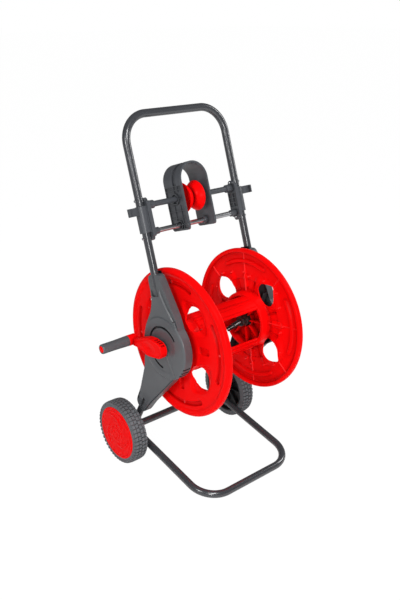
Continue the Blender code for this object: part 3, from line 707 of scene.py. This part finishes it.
def make_side_plate(side, sign):
    lines = [(capsule(path, half), True) for path in PLATE_GROOVES for half in (0.0022, 0.003)]
    lines += [(capsule(path, half), True) for path in TIP_SLOTS for half in (0.0014, 0.0017)]
    lines += [(circle(radius), True) for radius in (0.0795, 0.083, 0.086, 0.09)]
    lines += [(CREASE, False), (TUBE_CHANNEL, True), (grown(TUBE_CHANNEL, 0.0004), True)]
    lines += [(skirt_line(0), False), (skirt_line(0.32), False)]
    lines += [(plate_outline(margin), True) for margin in (0.001, 0.003)]
    pocket = (plate_outline(0.0032), POCKET_FLOOR)
    plate = relief(f"{side}_side_moulding", PLATE_RIM, plate_face, PLATE_BACK, 0.0024, lines, sign, pocket)
    extras = []
    boss = mm((14.6, 139.5), (14.6, 173.5), (18.5, 173.5), (18.5, 139.5))
    extras.append(lathe("boss", boss, REEL, sign, 48))
    for name, x, low, high in (
        ("leg", LEG_X, leg_yz(0, -0.2375), leg_yz(0, PLATE_TOP - 0.054)),
        ("riser", BASE_X, riser_yz(0, 0.1155), riser_yz(0, 0.152)),
    ):
        extras.append(rod(name, 0.0122, (sign * x, *low), (sign * x, *high), 36))
    for angle in range(22, 382, 45):
        low, high = (sign * 0.148, 0.018, -0.001), (sign * 0.168, 0.0815, 0.001)
        extras.append(block("rib", low, high, about(REEL, angle)))
    dress(plate, "plate", "frame", [f"{side}_side_plate"], extras=extras, crease=24)
    # Painted shadow: near-black sheets in the tube channel, blades at the disc rim's notches and strips
    # beside the tube, standing in for the shade in these openings.
    shadow_liner = prism(f"{side}_channel_painted_shadow", grown(TUBE_CHANNEL, -0.0003), sign * 0.148, sign * 0.15)
    shadow_strips = []
    for notch in NOTCHES:
        reach = min(PLATE_RIM, key=lambda p: abs(atan2(p[1] - REEL[1], REEL[0] - p[0]) - radians(notch)))
        reach = hypot(reach[0] - REEL[0], reach[1] - REEL[1]) + 0.0004
        low, high = (sign * CHANNEL_FLOOR, -reach, -0.0016), (sign * PLATE_FACE, -0.0775, 0.0016)
        shadow_strips.append(block("slit", low, high, about(REEL, -notch)))
    for front, back in ((-0.0145, -0.0104), (0.0104, 0.0158)):
        low, high = (sign * 0.15, front, PLATE_TOP - 0.047), (sign * 0.159, back, PLATE_TOP - 0.002)
        shadow_strips.append(block("gap", low, high, LEANING))
    dress(merge(shadow_liner, shadow_strips), "shadow", "frame")


# ---------------------------------------------------------------- reel
FLANGE_RADIUS, BORE_RADIUS = 0.1972, 0.0118
HOLE_ANGLES = (53, 143, 233, 323)
SPOKE_ANGLES = (8, 98, 188, 278)
HOLE = ((77.6, 0), (77.9, 9), (80, 15.5), (84, 20.5), (90, 25.5), (98, 29.5), (107, 32), (116, 32), (124, 29),
        (131, 23.5), (137, 17), (142, 10.8), (145.5, 5.5), (147, 0))
DISH = ((84, 0), (84, 24), (90, 37), (98, 48), (108, 56), (118, 58), (127, 52), (136, 41), (144, 28),
        (150, 13), (152, 0))
SPOKE_PAD = ((88, 0), (88, 7), (90, 9.3), (94, 10), (118, 10), (123, 9), (125.5, 6), (126, 0))


def petal(half, angle, grow=0.0):
    """A shape given as (radius, half width) in mm, set around the reel at the angle."""
    points = [*half, *((r, -w) for r, w in half[-2:0:-1])]
    axis = Vector((-cos(radians(angle)), sin(radians(angle))))
    side = Vector((axis.y, -axis.x))
    middle = sum(r for r, _ in points) / len(points)
    outline = []
    for r, w in points:
        stretch = 1 + grow * 1000 / max(hypot(r - middle, w), 1)
        out = middle + (r - middle) * stretch
        outline.append(tuple(Vector(REEL) + (axis * out + side * w * stretch) / 1000))
    return outline


FRONT_PROFILE = np.array(mm(
    (11.8, 128.5), (60, 128.5), (62, 129.5), (84, 129.5), (85.6, 128.2), (176, 128.2), (178.5, 128.8),
    (181.8, 130.8), (185, 131.8), (188.5, 132.1), (190.5, 131.4), (194.5, 129.6), (196.2, 127.8),
    (196.8, 126.5), (197.2, 124),
))
REAR_PROFILE = np.array(mm(
    (11.8, 124), (64, 123.8), (66.2, 121.8), (67.3, 102.2), (68, 100.6), (69.2, 100), (73.5, 100),
    (75, 100.3), (76.5, 101.4), (77.4, 104), (79, 118), (80.6, 123.6), (82.6, 125.6), (112.8, 125.6),
    (113.8, 124), (183.2, 124), (185, 122.8), (186.2, 117), (187.2, 115.2), (189.2, 114.3), (192.7, 114.1),
    (195.1, 114.8), (196.6, 116.6), (197.2, 119),
))
GROOVE_PATHS = [arc_path(0.162, middle - 26, middle + 26, 30) for middle in SPOKE_ANGLES]


def flange_depth(points, profile, groove, pad, collar):
    radius = np.hypot(points[:, 0] - REEL[0], points[:, 1] - REEL[1])
    depth = np.interp(radius, profile[:, 0], profile[:, 1])
    for path in GROOVE_PATHS:
        depth -= groove * np.clip((0.007 - distance(points, path)) / 0.0034, 0, 1)
    for angle in HOLE_ANGLES:
        dish = petal(DISH, angle)
        within = np.where(inside(points, dish), distance(points, dish, closed=True), 0)
        depth -= 0.0058 * smoothstep(within / 0.012)
        gap = distance(points, petal(HOLE, angle), closed=True)
        depth += collar * (1 - smoothstep((gap - 0.0012) / 0.001)) * (radius > 0.0835)
    for angle in SPOKE_ANGLES:
        spot = petal(SPOKE_PAD, angle)
        within = np.where(inside(points, spot), distance(points, spot, closed=True), 0)
        depth -= pad * np.clip(within / 0.0022, 0, 1)
    return depth


def make_flange(side, sign):
    radii = sorted({*FRONT_PROFILE[1:-1, 0], *REAR_PROFILE[1:-1, 0]})
    radii = [radius for radius in radii if radius < 0.0845 or radius > 0.17 or 0.112 < radius < 0.114]
    lines = [(circle(radius, 2), True) for radius in radii]
    for angle in HOLE_ANGLES:
        lines += [(petal(HOLE, angle, grow), True) for grow in (0.0013, 0.0023)]
        lines += [(petal(DISH, angle, -step), True) for step in (0, 0.004, 0.008, 0.012)]
    for path in GROOVE_PATHS:
        lines += [(capsule(path, half), True) for half in (0.0036, 0.007)]
    for angle in SPOKE_ANGLES:
        lines += [(petal(SPOKE_PAD, angle, grow), True) for grow in (0, -0.0022)]
    holes = [*(petal(HOLE, angle) for angle in HOLE_ANGLES), circle(BORE_RADIUS, 10)]
    flange = sheet(
        f"{side}_flange_moulding", circle(FLANGE_RADIUS, 2),
        lambda points: flange_depth(points, FRONT_PROFILE, 0.0052, 0.0046, 0.0004),
        lambda points: flange_depth(points, REAR_PROFILE, 0.0042, 0.003, -0.0014),
        0.007, lines, holes, sign=sign,
    )
    extras, ribs = [], []

    def add_ridge(to, base, tip, inner, outer, angle):
        to.append(ridge(sign * base, sign * tip, inner, outer, 0.0016, about(REEL, -angle)))

    for angle in (*SPOKE_ANGLES, *HOLE_ANGLES):
        add_ridge(ribs, 0.125, 0.1218, 0.1505, 0.185, angle)
        if angle in SPOKE_ANGLES:
            add_ridge(ribs, 0.1231, 0.12, 0.079, 0.1255, angle)
            add_ridge(ribs, 0.1248, 0.1215, 0.1255, 0.151, angle)
            for over in (-17, 17):
                add_ridge(extras, 0.1262, 0.1225, 0.079, 0.113, angle - over)
        low, high = (sign * 0.106, -0.0668, -0.0011), (sign * 0.1245, -0.0205, 0.0011)
        extras.append(block("rib", low, high, about(REEL, -angle)))
    for spoke in SPOKE_ANGLES:
        for radius, over in ((0.133, 0), (0.135, 22), (0.147, 37), (0.139, 57), (0.123, 81)):
            y, z = polar(radius, spoke + over)
            ribs.append(rod("pin", 0.0026, (sign * 0.125, y, z), (sign * 0.1155, y, z), 12, 0.0016))
    ring_profile = mm((22.5, 124.5), (22.5, 113), (20.5, 113), (20.5, 124.5))
    extras.append(lathe("ring", ring_profile, REEL, sign, 48))
    dress(flange, "red", "reel", [f"{side}_flange"], extras=extras)
    # The ribs and pins take the lighter red, a painted highlight.
    dress(merge(ribs[0], ribs[1:]), "red_painted_highlight", "reel", name=f"{side}_flange_ribs")


def make_drum_slats():
    for i in range(3):
        outline = []
        for radius, angle in (
            (66.8, 42), (70, 41.3), (79, 41.3), (80.1, 42.6), (80.1, 45.6), (79.2, 46.2), (79.2, 47.4),
            (80.1, 48), (80.1, 54), (80.1, 57), (79.2, 57.6), (79.2, 58.8), (80.1, 59.4), (79.6, 63.4),
            (76, 64.6), (75.7, 67), (74.9, 67.6), (74.9, 68.8), (75.7, 69.4), (75.6, 76), (75.5, 79.4),
            (74.7, 80), (74.7, 81.2), (75.4, 81.8), (74.9, 84.6), (71.4, 85.6), (70.8, 91.4), (70, 92.2),
            (66.6, 92.2), (66, 91), (66, 84), (66, 76), (66, 68), (66, 60), (66, 52), (66.2, 44),
        ):
            outline.append(polar(radius / 1000, angle - 120 * i))
        slat = prism(f"drum_slat_moulding_{i + 1}", outline, -0.0997, 0.0997)
        dress(slat, "red", "reel", [f"drum_slat_{i + 1}"], bevel=0.0008)


def make_shafts():
    head = mm((11, 177), (11, 123.7), (19.2, 123.7), (20, 122.9), (20, 121.5), (19.2, 120.7))
    profile = [(0.008, 0.189), (0.008, 0.177), *head, (0.0027, 0.1207), (0.0027, 0.189)]
    dress(lathe("crank_spindle", profile, REEL, -1, 56), "black", "reel", ["crank_shaft"])
    profile = [*head, (0.006, 0.1207), (0.006, 0.177)]
    dress(lathe("inlet_spindle", profile, REEL, 1, 56), "black", "reel", ["inlet_shaft"])
    profile = mm((0, 120.4), (4, 120.4), (5, 119.6), (5, 118), (4, 117.4), (3, 117.4), (2.8, 118.6),
                 (0, 118.6))
    dress(lathe("crank_bolt", profile, REEL, -1, 40), "steel", "reel", ["crank_screw"])
    for side, sign in SIDES:
        ring = mm((14.1, 174.1), (14.1, 139.2), (11.4, 139.2), (11.4, 174.1))
        dress(lathe(f"{side}_bush", ring, REEL, sign, 56), "black", "frame", [f"{side}_bearing_bush"])


# The ringed quick-connect nose, as (distance along it, radius).
NOSE = mm((0, 8.2), (4, 8.6), (6.5, 8.6), (6.8, 6.4), (8.8, 6.4), (9.2, 8.2), (11.8, 8.2), (12.4, 6.2),
          (14.2, 6.2), (14.8, 7.9), (17.2, 7.9), (17.8, 6), (23.6, 5.8), (24, 5.2))


def nose(name, start, heading, offset):
    """A ringed quick-connect nose on a sloping branch."""
    heading = Vector(heading).normalized()
    turn = Vector((1, 0, 0)).rotation_difference(heading).to_matrix().to_4x4()
    matrix = Matrix.Translation(Vector(start)) @ turn
    profile = [(radius, offset + along) for along, radius in NOSE]
    profile += [(0.0045, offset + 0.024), (0.0045, offset)]
    return lathe(name, profile, steps=40, matrix=matrix)


def make_water_way():
    heading = Vector((-0.804, 0.371, -0.464))
    body = mm((0, 88.5), (12, 88), (14.6, 89), (15.5, 91.2), (15.5, 101), (14.8, 101.6), (14.8, 103.4),
              (16, 104), (16, 119), (15.2, 120), (6.2, 120.4), (6.2, 96), (0, 95.5))
    elbow = lathe("elbow_body", body, REEL, 1, 56)
    start = Vector((0.1, *REEL))
    branch = rod("branch", 0.0088, start + heading * 0.006, start + heading * 0.0262, 40, 0.008)
    for step in range(12):
        grip = block("grip", (0.1045, 0.0155, -0.0012), (0.118, 0.0166, 0.0012), about(REEL, 30 * step))
        merge(branch, [grip])
    dress(merge(elbow, [branch]), "black", "reel", ["hose_elbow"], bevel=0.0004)
    dress(nose("elbow_nose", start, heading, 0.0263), "black", "reel", ["hose_nipple"])

    down = Vector((0, sin(radians(30)), -cos(radians(30))))
    body = mm((0, 198), (16, 198), (18.2, 197.2), (19, 195.5), (19, 175.2), (11.4, 175.2), (11.4, 190),
              (0, 190))
    housing = lathe("swivel_housing", body, REEL, 1, 56)
    start = Vector((0.186, *REEL))
    spout = rod("spout", 0.0092, start + down * 0.01, start + down * 0.0422, 40, 0.0084)
    dress(merge(housing, [spout]), "black", "frame", ["inlet_housing"], bevel=0.0005)
    dress(nose("swivel_nose", start, down, 0.0423), "black", "frame", ["inlet_nipple"])


# ---------------------------------------------------------------- crank
def crank_points():
    under = mm((12, -24.5), (23.5, -27), (35, -28.8), (45, -28.5), (54, -26.2), (62, -23.5), (72, -22),
               (85, -21.4), (100, -21.6))
    over = mm((100, -1.5), (89, 2.2), (77, 7.2), (65, 12.6), (54, 17.2), (43, 20.8), (31, 23.2), (19, 24),
              (9, 22.8))
    hub = arc((0, 0), 0.022, 100, 262, 26)
    end = arc((0.1115, -0.0115), 0.01, -85, 82, 14)
    return [(REEL[0] + y, REEL[1] + z) for y, z in hub + under + end + over]


CRANK_RIM = crank_points()


def crank_face(points):
    """The arm's outer face: a rounded rim, a border line and stepped ovals around the hub."""
    rim = distance(points, CRANK_RIM, closed=True)
    depth = 0.196 - 0.0026 * round_off(rim, 0.003)
    depth -= 0.0012 * smoothstep((rim - 0.0034) / 0.0012)
    oval = np.hypot((points[:, 0] - REEL[0] - 0.034) / 1.75, points[:, 1] - REEL[1] + 0.004)
    for edge in (0.0145, 0.0108, 0.0072, 0.0038):
        depth -= 0.0008 * smoothstep((edge - oval) / 0.0008)
    return depth


def make_crank():
    lines = [(inset(CRANK_RIM, by), True) for by in (0.0015, 0.003, 0.0045, 0.0062)]
    arm = relief("crank_moulding", CRANK_RIM, crank_face, 0.1783, 0.0016, lines, sign=-1)
    cuts = []
    for angle in (46, 69, 93, 116):
        low, high = (-0.1922, -0.029, -0.0024), (-0.1815, -0.0198, 0.0024)
        cuts.append(block("serration", low, high, about(REEL, -angle)))
    combine(arm, cuts)
    boss = mm((0, 201), (10, 204), (13.6, 203.6), (14.5, 202.4), (14.5, 181.2), (13.6, 180.2), (0, 180.2))
    merge(arm, [lathe("boss", boss, GRIP, -1, 56)])
    dress(arm, "red", "reel", ["crank_arm"])
    cap = mm((0, 285), (6, 285), (8.2, 284.6), (9, 283.6), (9, 281.8), (0, 281.8))
    dress(lathe("grip_end", cap, GRIP, -1, 40), "red", "reel", ["grip_cap"])
    pin = mm((0, 281.5), (6, 281.5), (6, 186.3), (0, 186.3))
    dress(lathe("grip_pin", pin, GRIP, -1, 32), "steel", "reel", ["crank_pin"])
    grip = mm((9.4, 284.5), (10.8, 284.5), (12, 284), (12.7, 282.8), (12.9, 280), (13, 245), (13.5, 226),
              (14, 210), (14.1, 206), (13.8, 204.6), (12.8, 204.3), (6.4, 204.3), (6.4, 281.2), (9.4, 281.2))
    dress(lathe("grip_sleeve", grip, GRIP, -1, 64), "plate", "grip", ["crank_grip"])


# ---------------------------------------------------------------- wheels
CAP_RADIUS, CAP_FACE = 0.0757, 0.2222


def cap_face(points):
    """The hub cap: a low dome with a stepped rim, rings round the hub and three swept crescents."""
    y, z = points[:, 0] - AXLE[0], points[:, 1] - AXLE[1]
    radius = np.hypot(y, z)
    turn = np.degrees(np.arctan2(z, -y))
    depth = CAP_FACE + 0.001 * (1 - (radius / CAP_RADIUS) ** 2)
    depth -= 0.0016 * round_off(CAP_RADIUS - radius, 0.003)
    depth -= 0.0006 * band(radius, 0.0655, 0.0697, 0.0012)
    for ring in (0.015, 0.0225):
        depth += 0.0008 * (1 - smoothstep((np.abs(radius - ring) - 0.001) / 0.001))
    for middle in (75, 195, 315):
        away = (turn - middle + 180) % 360 - 180
        path = 0.044 + 0.011 * away / 40
        width = 0.0042 * np.clip(1 - (away / 44) ** 2, 0, 1)
        depth += 0.0011 * (1 - smoothstep((np.abs(radius - path) - width) / 0.0014)) * (np.abs(away) < 44)
    return depth


LUG_FACES = (4, 5, 6, 7), (0, 1, 5, 4), (1, 2, 6, 5), (2, 3, 7, 6), (3, 0, 4, 7)
LUG_CORNERS = (-1, -1), (1, -1), (1, 1), (-1, 1)
LUG_ROWS = (0.1846, 0.0088, 0.0), (0.1943, 0.0093, 0.0), (0.2045, 0.0093, 0.5), (0.2144, 0.009, 0.5)
LUG_COUNT = 48


def make_lugs(side, sign):
    """Four rows of tread blocks, and short ribs round the outer wall."""
    verts, faces = [], []
    pitch = 2 * pi / LUG_COUNT

    def add_row(shift, corners):
        for i in range(LUG_COUNT):
            start = len(verts)
            for x, radius, over in corners:
                turn = pitch * (i + shift) + over
                verts.append((sign * x, AXLE[0] - radius * cos(turn), AXLE[1] + radius * sin(turn)))
            faces.extend(tuple(start + k for k in face) for face in LUG_FACES)

    for middle, width, shift in LUG_ROWS:
        corners = [(middle + dx * width / 2, 0.0868, dt * pitch * 0.41) for dx, dt in LUG_CORNERS]
        for dx, dt in LUG_CORNERS:
            x = middle + dx * width / 2 * 0.9
            worn = 0.0012 if abs(x - 0.1995) > 0.0185 else 0
            corners.append((x, 0.09135 - worn, dt * pitch * 0.41 * 0.9))
        add_row(shift, corners)
    levels = ((0.219, 0.0035, 0.3), (0.2211, 0.002975, 0.24))
    add_row(0.5, [(x, 0.085 + out * tall, dt * pitch * wide)
                  for x, tall, wide in levels for out, dt in LUG_CORNERS])
    return mesh_object(f"{side}_lugs", verts, faces)


def make_wheel(side, sign):
    profile = mm((75, 220.3), (78.5, 220.5), (83.5, 220.2), (87.2, 218.6), (88.4, 216), (88.8, 212),
                 (88.8, 187), (88.4, 183), (87.2, 180.4), (83.5, 178.8), (78.5, 178.5), (75, 178.7))
    tyre = lathe(f"{side}_tread", profile, AXLE, sign, 128)
    merge(tyre, [make_lugs(side, sign)])
    dress(tyre, "tyre", f"{side}_wheel", [f"{side}_tyre"])
    disc = mm((74.2, 219.5), (74.2, 179), (73.5, 178.3), (71.5, 178), (70, 179), (68.8, 199.5), (67, 202),
              (18, 203), (14.5, 201), (12.5, 180), (11.8, 179.2), (4.4, 179.2), (4.4, 209.5), (11, 209.5),
              (12, 207), (69, 207), (70, 219.5))
    wheel = lathe(f"{side}_wheel_bowl", disc, AXLE, sign, 96)
    ribs = []
    for angle in range(0, 360, 45):
        low, high = (sign * 0.193, 0.0135, -0.0013), (sign * 0.2035, 0.069, 0.0013)
        ribs.append(block("rib", low, high, about(AXLE, angle)))
    dress(merge(wheel, ribs), "wheel", f"{side}_wheel", [f"{side}_wheel_disc"])
    edges = (0.0125, 0.014, 0.016, 0.0175, 0.02, 0.0215, 0.0235, 0.025, 0.0655, 0.0668, 0.0685, 0.0697, 0.073,
             0.0748)
    lines = [(circle(radius, 5, AXLE), True) for radius in edges]
    rim, pocket = circle(CAP_RADIUS, 3, AXLE), (circle(0.066, 5, AXLE), 0.2213)
    cap = relief(f"{side}_cap_moulding", rim, cap_face, 0.2208, 0.0022, lines, sign, pocket)
    skirt = mm((66, 212), (68.4, 212), (68.4, 221.2), (66, 221.2))
    merge(cap, [lathe("skirt", skirt, AXLE, sign, 72)])
    dress(cap, "red", f"{side}_wheel", [f"{side}_hub_cap"])
    spacer = mm((9, 178.7), (9, 168.3), (4.3, 168.3), (4.3, 178.7))
    dress(lathe(f"{side}_spacer_ring", spacer, AXLE, sign, 40), "black", "frame", [f"{side}_wheel_spacer"])


# ---------------------------------------------------------------- hose guide and clamps
def make_rods():
    for name, node, radius, up, kind in (
        ("upper_bar", "upper_guide_rod", 0.0073, 0.0, "fitting"),
        ("lower_bar", "lower_guide_rod", 0.0063, LOWER_ROD, "steel"),
    ):
        half = [(0, 0.1388), (radius - 0.0006, 0.1388), (radius, 0.1382)]
        profile = half + [(r, -x) for r, x in half[::-1]]
        dress(lathe(name, profile, steps=40, matrix=leaning_at(up)), kind, "frame", [node])


def u_outline(half, foot, spring=0.0425, steps=40):
    """An inverted U's outer line, from its right foot over the arch to its left foot."""
    arch = arc((0, spring), half, 0, 180, steps)
    return [(GUIDE_X + x, up) for x, up in [(half, foot), *arch, (-half, foot)]]


def make_guide():
    foot = -0.081
    outline = u_outline(0.045, foot) + u_outline(0.04, foot)[::-1]
    guide = prism("guide_arch", outline, -0.036, 0.036, LEANING_ALONG)
    bosses = []
    for up, radius, start in ((0.0, 0.0115, 0.0243), (LOWER_ROD, 0.0098, 0.03)):
        for sign in (-1, 1):
            first, last = sorted((GUIDE_X + sign * start, GUIDE_X + sign * 0.0452))
            ring = [(0, first), (radius, first), (radius, last), (0, last)]
            bosses.append(lathe("boss", ring, steps=40, matrix=leaning_at(up)))
    combine(guide, bosses, "UNION")
    cuts = []
    for sign in (-1, 1):
        low, high = (GUIDE_X + sign * 0.0424, -0.0305, -0.0765), (GUIDE_X + sign * 0.048, 0.0335, 0.031)
        cuts.append(block("panel", low, high, LEANING))
    channel = u_outline(0.048, 0.033) + u_outline(0.0418, 0.033)[::-1]
    cuts.append(prism("channel", channel, -0.015, -0.001, LEANING_ALONG))
    corner_cut = [(0.037, -0.083), (0.027, -0.083), *arc((0.027, -0.072), 0.009, -90, 0, 9), (0.037, -0.072)]
    for front in (-1, 1):
        corner = [(front * back, up) for back, up in corner_cut]
        cuts.append(prism("corner", corner, -0.06, 0.05, LEANING_ACROSS))
    combine(guide, cuts)
    holes = []
    for up, radius in ((0.0, 0.0077), (LOWER_ROD, 0.0067)):
        bore = [(0, -0.07), (radius, -0.07), (radius, 0.07), (0, 0.07)]
        holes.append(lathe("hole", bore, steps=40, matrix=leaning_at(up)))
    combine(guide, holes)

    # The side walls' ribs, as (front, back, lower, upper) edges.
    half = 0.0009
    ribs = [(back - half, back + half, low, high) for back, low, high in (
        (-0.015, -0.077, -0.016), (-0.015, 0.015, 0.0312), (0.01, -0.0545, -0.015), (0.0, 0.0148, 0.0312),
    )]
    ribs += [(-0.031, 0.034, up - half, up + half) for up in (-0.048, -0.031, 0.0222)]
    ribs += [(front, back, up - half, up + half) for up, reach in ((0.0, 0.0138), (LOWER_ROD, 0.0108))
             for front, back in ((-0.031, -reach), (reach, 0.034))]
    extras = []
    for sign in (-1, 1):
        for up, radius in ((0.0, 0.0142), (LOWER_ROD, 0.0112)):
            ring = [(radius - 0.002, 0.042), (radius - 0.002, 0.0462), (radius, 0.0462), (radius, 0.042)]
            extras.append(lathe("ring", ring, sign=sign, steps=48, matrix=leaning_at(up, GUIDE_X)))
        for front, back, low, high in ribs:
            inner, outer = GUIDE_X + sign * 0.042, GUIDE_X + sign * 0.0446
            extras.append(block("rib", (inner, front, low), (outer, back, high), LEANING))
    dress(guide, "fitting", "guide", ["hose_guide"], bevel=0.0007, extras=extras)

    lip = mm((37.2, 23.8), (38.6, 23.4), (39, 22.6), (39, 21.6), (38.4, 20.8))
    groove = [(0.0098 + 0.0286 * (abs(t) / 16) ** 0.42, 0.0208 * t / 16) for t in range(15, -16, -1)]
    hollow = mm((34.5, -23.8), (33.5, -19.5), (12, -19.5), (12, -23.8), (7.8, -23.8))
    profile = lip + groove + [(r, -x) for r, x in lip[::-1]] + hollow + [(r, -x) for r, x in hollow[::-1]]
    roller = lathe("roller_moulding", profile, matrix=leaning_at(0, GUIDE_X))
    dress(roller, "red", "roller", ["guide_roller"])


def make_clamp(side, sign):
    def cuboid(name, low, high):
        return block(name, (sign * low[0], *low[1:]), (sign * high[0], *high[1:]), LEANING)

    flank = mm((15, -77), (17.2, -74), (17.2, 8), (15, 11))
    outline = arc((0, 0.011), 0.0085, 0, 180, 14) + [(-back, up) for back, up in flank[::-1]]
    outline += arc((0, -0.0785), 0.0085, 180, 360, 14) + flank
    plate = prism(f"{side}_clamp_moulding", outline, sign * 0.1395, sign * 0.15, LEANING_ACROSS)
    combine(plate, [
        cuboid("cell", (0.138, front, up - 0.005), (0.1425, back, up + 0.005))
        for up in (-0.0205, -0.033, -0.0455) for front, back in ((-0.015, -0.0012), (0.0012, 0.015))
    ])
    sockets = []
    for up, radius in ((0.0, 0.0105), (LOWER_ROD, 0.0088)):
        ring = [(0, 0.139), (radius, 0.139), (radius, 0.1213), (radius - 0.0008, 0.1205), (0, 0.1205)]
        sockets.append(lathe("socket", ring, sign=sign, steps=40, matrix=leaning_at(up)))
    dress(plate, "fitting", "frame", [f"{side}_clamp_plate"], bevel=0.0005, extras=sockets)

    ring = mm((10.2, -66), (14, -66), (14.5, -65.5), (14.5, -0.6), (14, 0), (10.2, 0))
    upright = leaning_at(0, sign * LEG_X) @ Matrix.Rotation(-pi / 2, 4, "Y")
    sleeve = lathe(f"{side}_clamp_shell", ring, steps=56, matrix=upright)
    combine(sleeve, [cuboid("split", (0.13, -0.03, -0.09), (0.1503, 0.03, 0.03))])
    combine(sleeve, [cuboid("tab", (0.17, -0.0075, -0.0215), (0.202, -0.0045, -0.001))], "UNION")
    combine(sleeve, [cuboid("lip", (0.1985, -0.0135, -0.0212), (0.2017, -0.0052, -0.0013))], "UNION")
    seams = [cuboid("seam", (0.1503, front, -0.0655), (0.16, front + 0.003, -0.0005))
             for front in (-0.0135, 0.0105)]
    dress(sleeve, "fitting", "frame", [f"{side}_clamp_sleeve"], bevel=0.0005, extras=seams)
    for name, up in (("upper", 0.0142), ("lower", -0.079)):
        bolt = mm((0, 136.7), (2.4, 136.8), (3.2, 137.5), (3.3, 139.2), (2, 139.2), (2, 173.5), (1.5, 174.2),
                  (0, 174.2))
        screw = lathe(f"{side}_{name}_bolt", bolt, sign=sign, steps=28, matrix=leaning_at(up))
        dress(screw, "steel", "frame", [f"{side}_{name}_clamp_screw"])
        hexagon = mm((3.6, 172.8), (3.8, 172.5), (3.8, 170.2), (3.6, 169.9), (2.2, 169.9), (2.2, 172.8))
        nut = lathe(f"{side}_{name}_hexnut", hexagon, sign=sign, steps=6, matrix=leaning_at(up))
        dress(nut, "steel", "frame", [f"{side}_{name}_clamp_nut"])


# ---------------------------------------------------------------- carried-over pieces
def dress_cad(name, kind):
    node = NODES[name]
    node.data.materials.clear()
    node.data.materials.append(MATERIALS[kind])


make_frame_tubes()
make_drum_slats()
make_shafts()
make_water_way()
make_crank()
make_rods()
make_guide()
for each_side, each_sign in SIDES:
    make_side_plate(each_side, each_sign)
    make_flange(each_side, each_sign)
    make_wheel(each_side, each_sign)
    make_clamp(each_side, each_sign)
    for part in ("leg_screw", "riser_screw", "axle_retainer"):
        dress_cad(f"{each_side}_{part}", "steel")
dress_cad("axle_rod", "steel")
dress_cad("inlet_seal", "rubber")


# ---------------------------------------------------------------- studio
def by_camera_ray(tree, dim, bright):
    """A level that the camera sees as bright, and the cart is lit by as dim."""
    level = tree.nodes.new("ShaderNodeMapRange")
    level.inputs["To Min"].default_value = dim
    level.inputs["To Max"].default_value = bright
    tree.links.new(tree.nodes.new("ShaderNodeLightPath").outputs["Is Camera Ray"], level.inputs["Value"])
    return level.outputs["Result"]


def make_floor():
    mesh = bpy.data.meshes.new("floor")
    mesh.from_pydata([(-40, -40, 0), (40, -40, 0), (40, 40, 0), (-40, 40, 0)], [], [(0, 1, 2, 3)])
    paint = bpy.data.materials.new("floor_paint")
    paint.use_nodes = True
    tree = paint.node_tree
    shader = tree.nodes["Principled BSDF"]
    shader.inputs["Roughness"].default_value = 0.9
    shader.inputs["Specular IOR Level"].default_value = 0.0
    shader.inputs["Emission Color"].default_value = (1, 1, 1, 1)
    tree.links.new(by_camera_ray(tree, 0.12, 0.98), shader.inputs["Emission Strength"])
    tree.links.new(by_camera_ray(tree, 0.8, 0.05), shader.inputs["Base Color"])
    mesh.materials.append(paint)
    add_object("floor", mesh)


def make_world():
    """A white surround, dimmer as a light and dimmer still in reflections."""
    world = bpy.data.worlds.new("studio")
    world.use_nodes = True
    tree = world.node_tree
    background = tree.nodes["Background"]
    background.inputs["Color"].default_value = (1, 1, 1, 1)
    dimmed = tree.nodes.new("ShaderNodeMath")
    dimmed.operation = "MULTIPLY_ADD"
    dimmed.inputs[1].default_value = -0.16
    tree.links.new(tree.nodes.new("ShaderNodeLightPath").outputs["Is Glossy Ray"], dimmed.inputs[0])
    tree.links.new(by_camera_ray(tree, 0.32, 1.0), dimmed.inputs[2])
    tree.links.new(dimmed.outputs["Value"], background.inputs["Strength"])
    SCENE.world = world


def make_lamps():
    for name, place, target, power, width, height in (
        ("key", (-0.5, -1.9, 2.6), (0, 0.15, 0.45), 36, 0.5, 0.5),
        ("left", (-2.15, -0.6, 1.75), (0, 0.15, 0.42), 22, 0.3, 0.8),
        ("front", (-1.5, -2.1, 1.2), (0, 0.15, 0.45), 22, 0.25, 1.0),
        ("right", (2.2, -0.6, 1.6), (0, 0.15, 0.5), 18, 0.25, 1.2),
    ):
        light = bpy.data.lights.new(name, "AREA")
        light.shape = "RECTANGLE"
        light.size, light.size_y = width, height
        light.energy = power
        obj = add_object(name, light)
        obj.location = place
        obj.rotation_euler = (Vector(target) - Vector(place)).to_track_quat("-Z", "Y").to_euler()


def make_camera():
    azimuth, elevation, roll = radians(-39.98), radians(21.866), radians(-0.325)
    back = Vector((sin(azimuth) * cos(elevation), -cos(azimuth) * cos(elevation), sin(elevation)))
    right = Vector((cos(azimuth), sin(azimuth), 0))
    up = right.cross(-back)
    right, up = cos(roll) * right + sin(roll) * up, -sin(roll) * right + cos(roll) * up
    camera = bpy.data.cameras.new("camera")
    camera.lens = 43.49
    camera.sensor_width = 36
    view = add_object("camera", camera)
    view.matrix_world = Matrix.Translation((-1.1605, -1.1692, 1.189)) @ Matrix(
        ((right.x, up.x, back.x), (right.y, up.y, back.y), (right.z, up.z, back.z))
    ).to_4x4()
    SCENE.camera = view
    SCENE.view_settings.view_transform = "Standard"


make_floor()
make_world()
make_lamps()
make_camera()
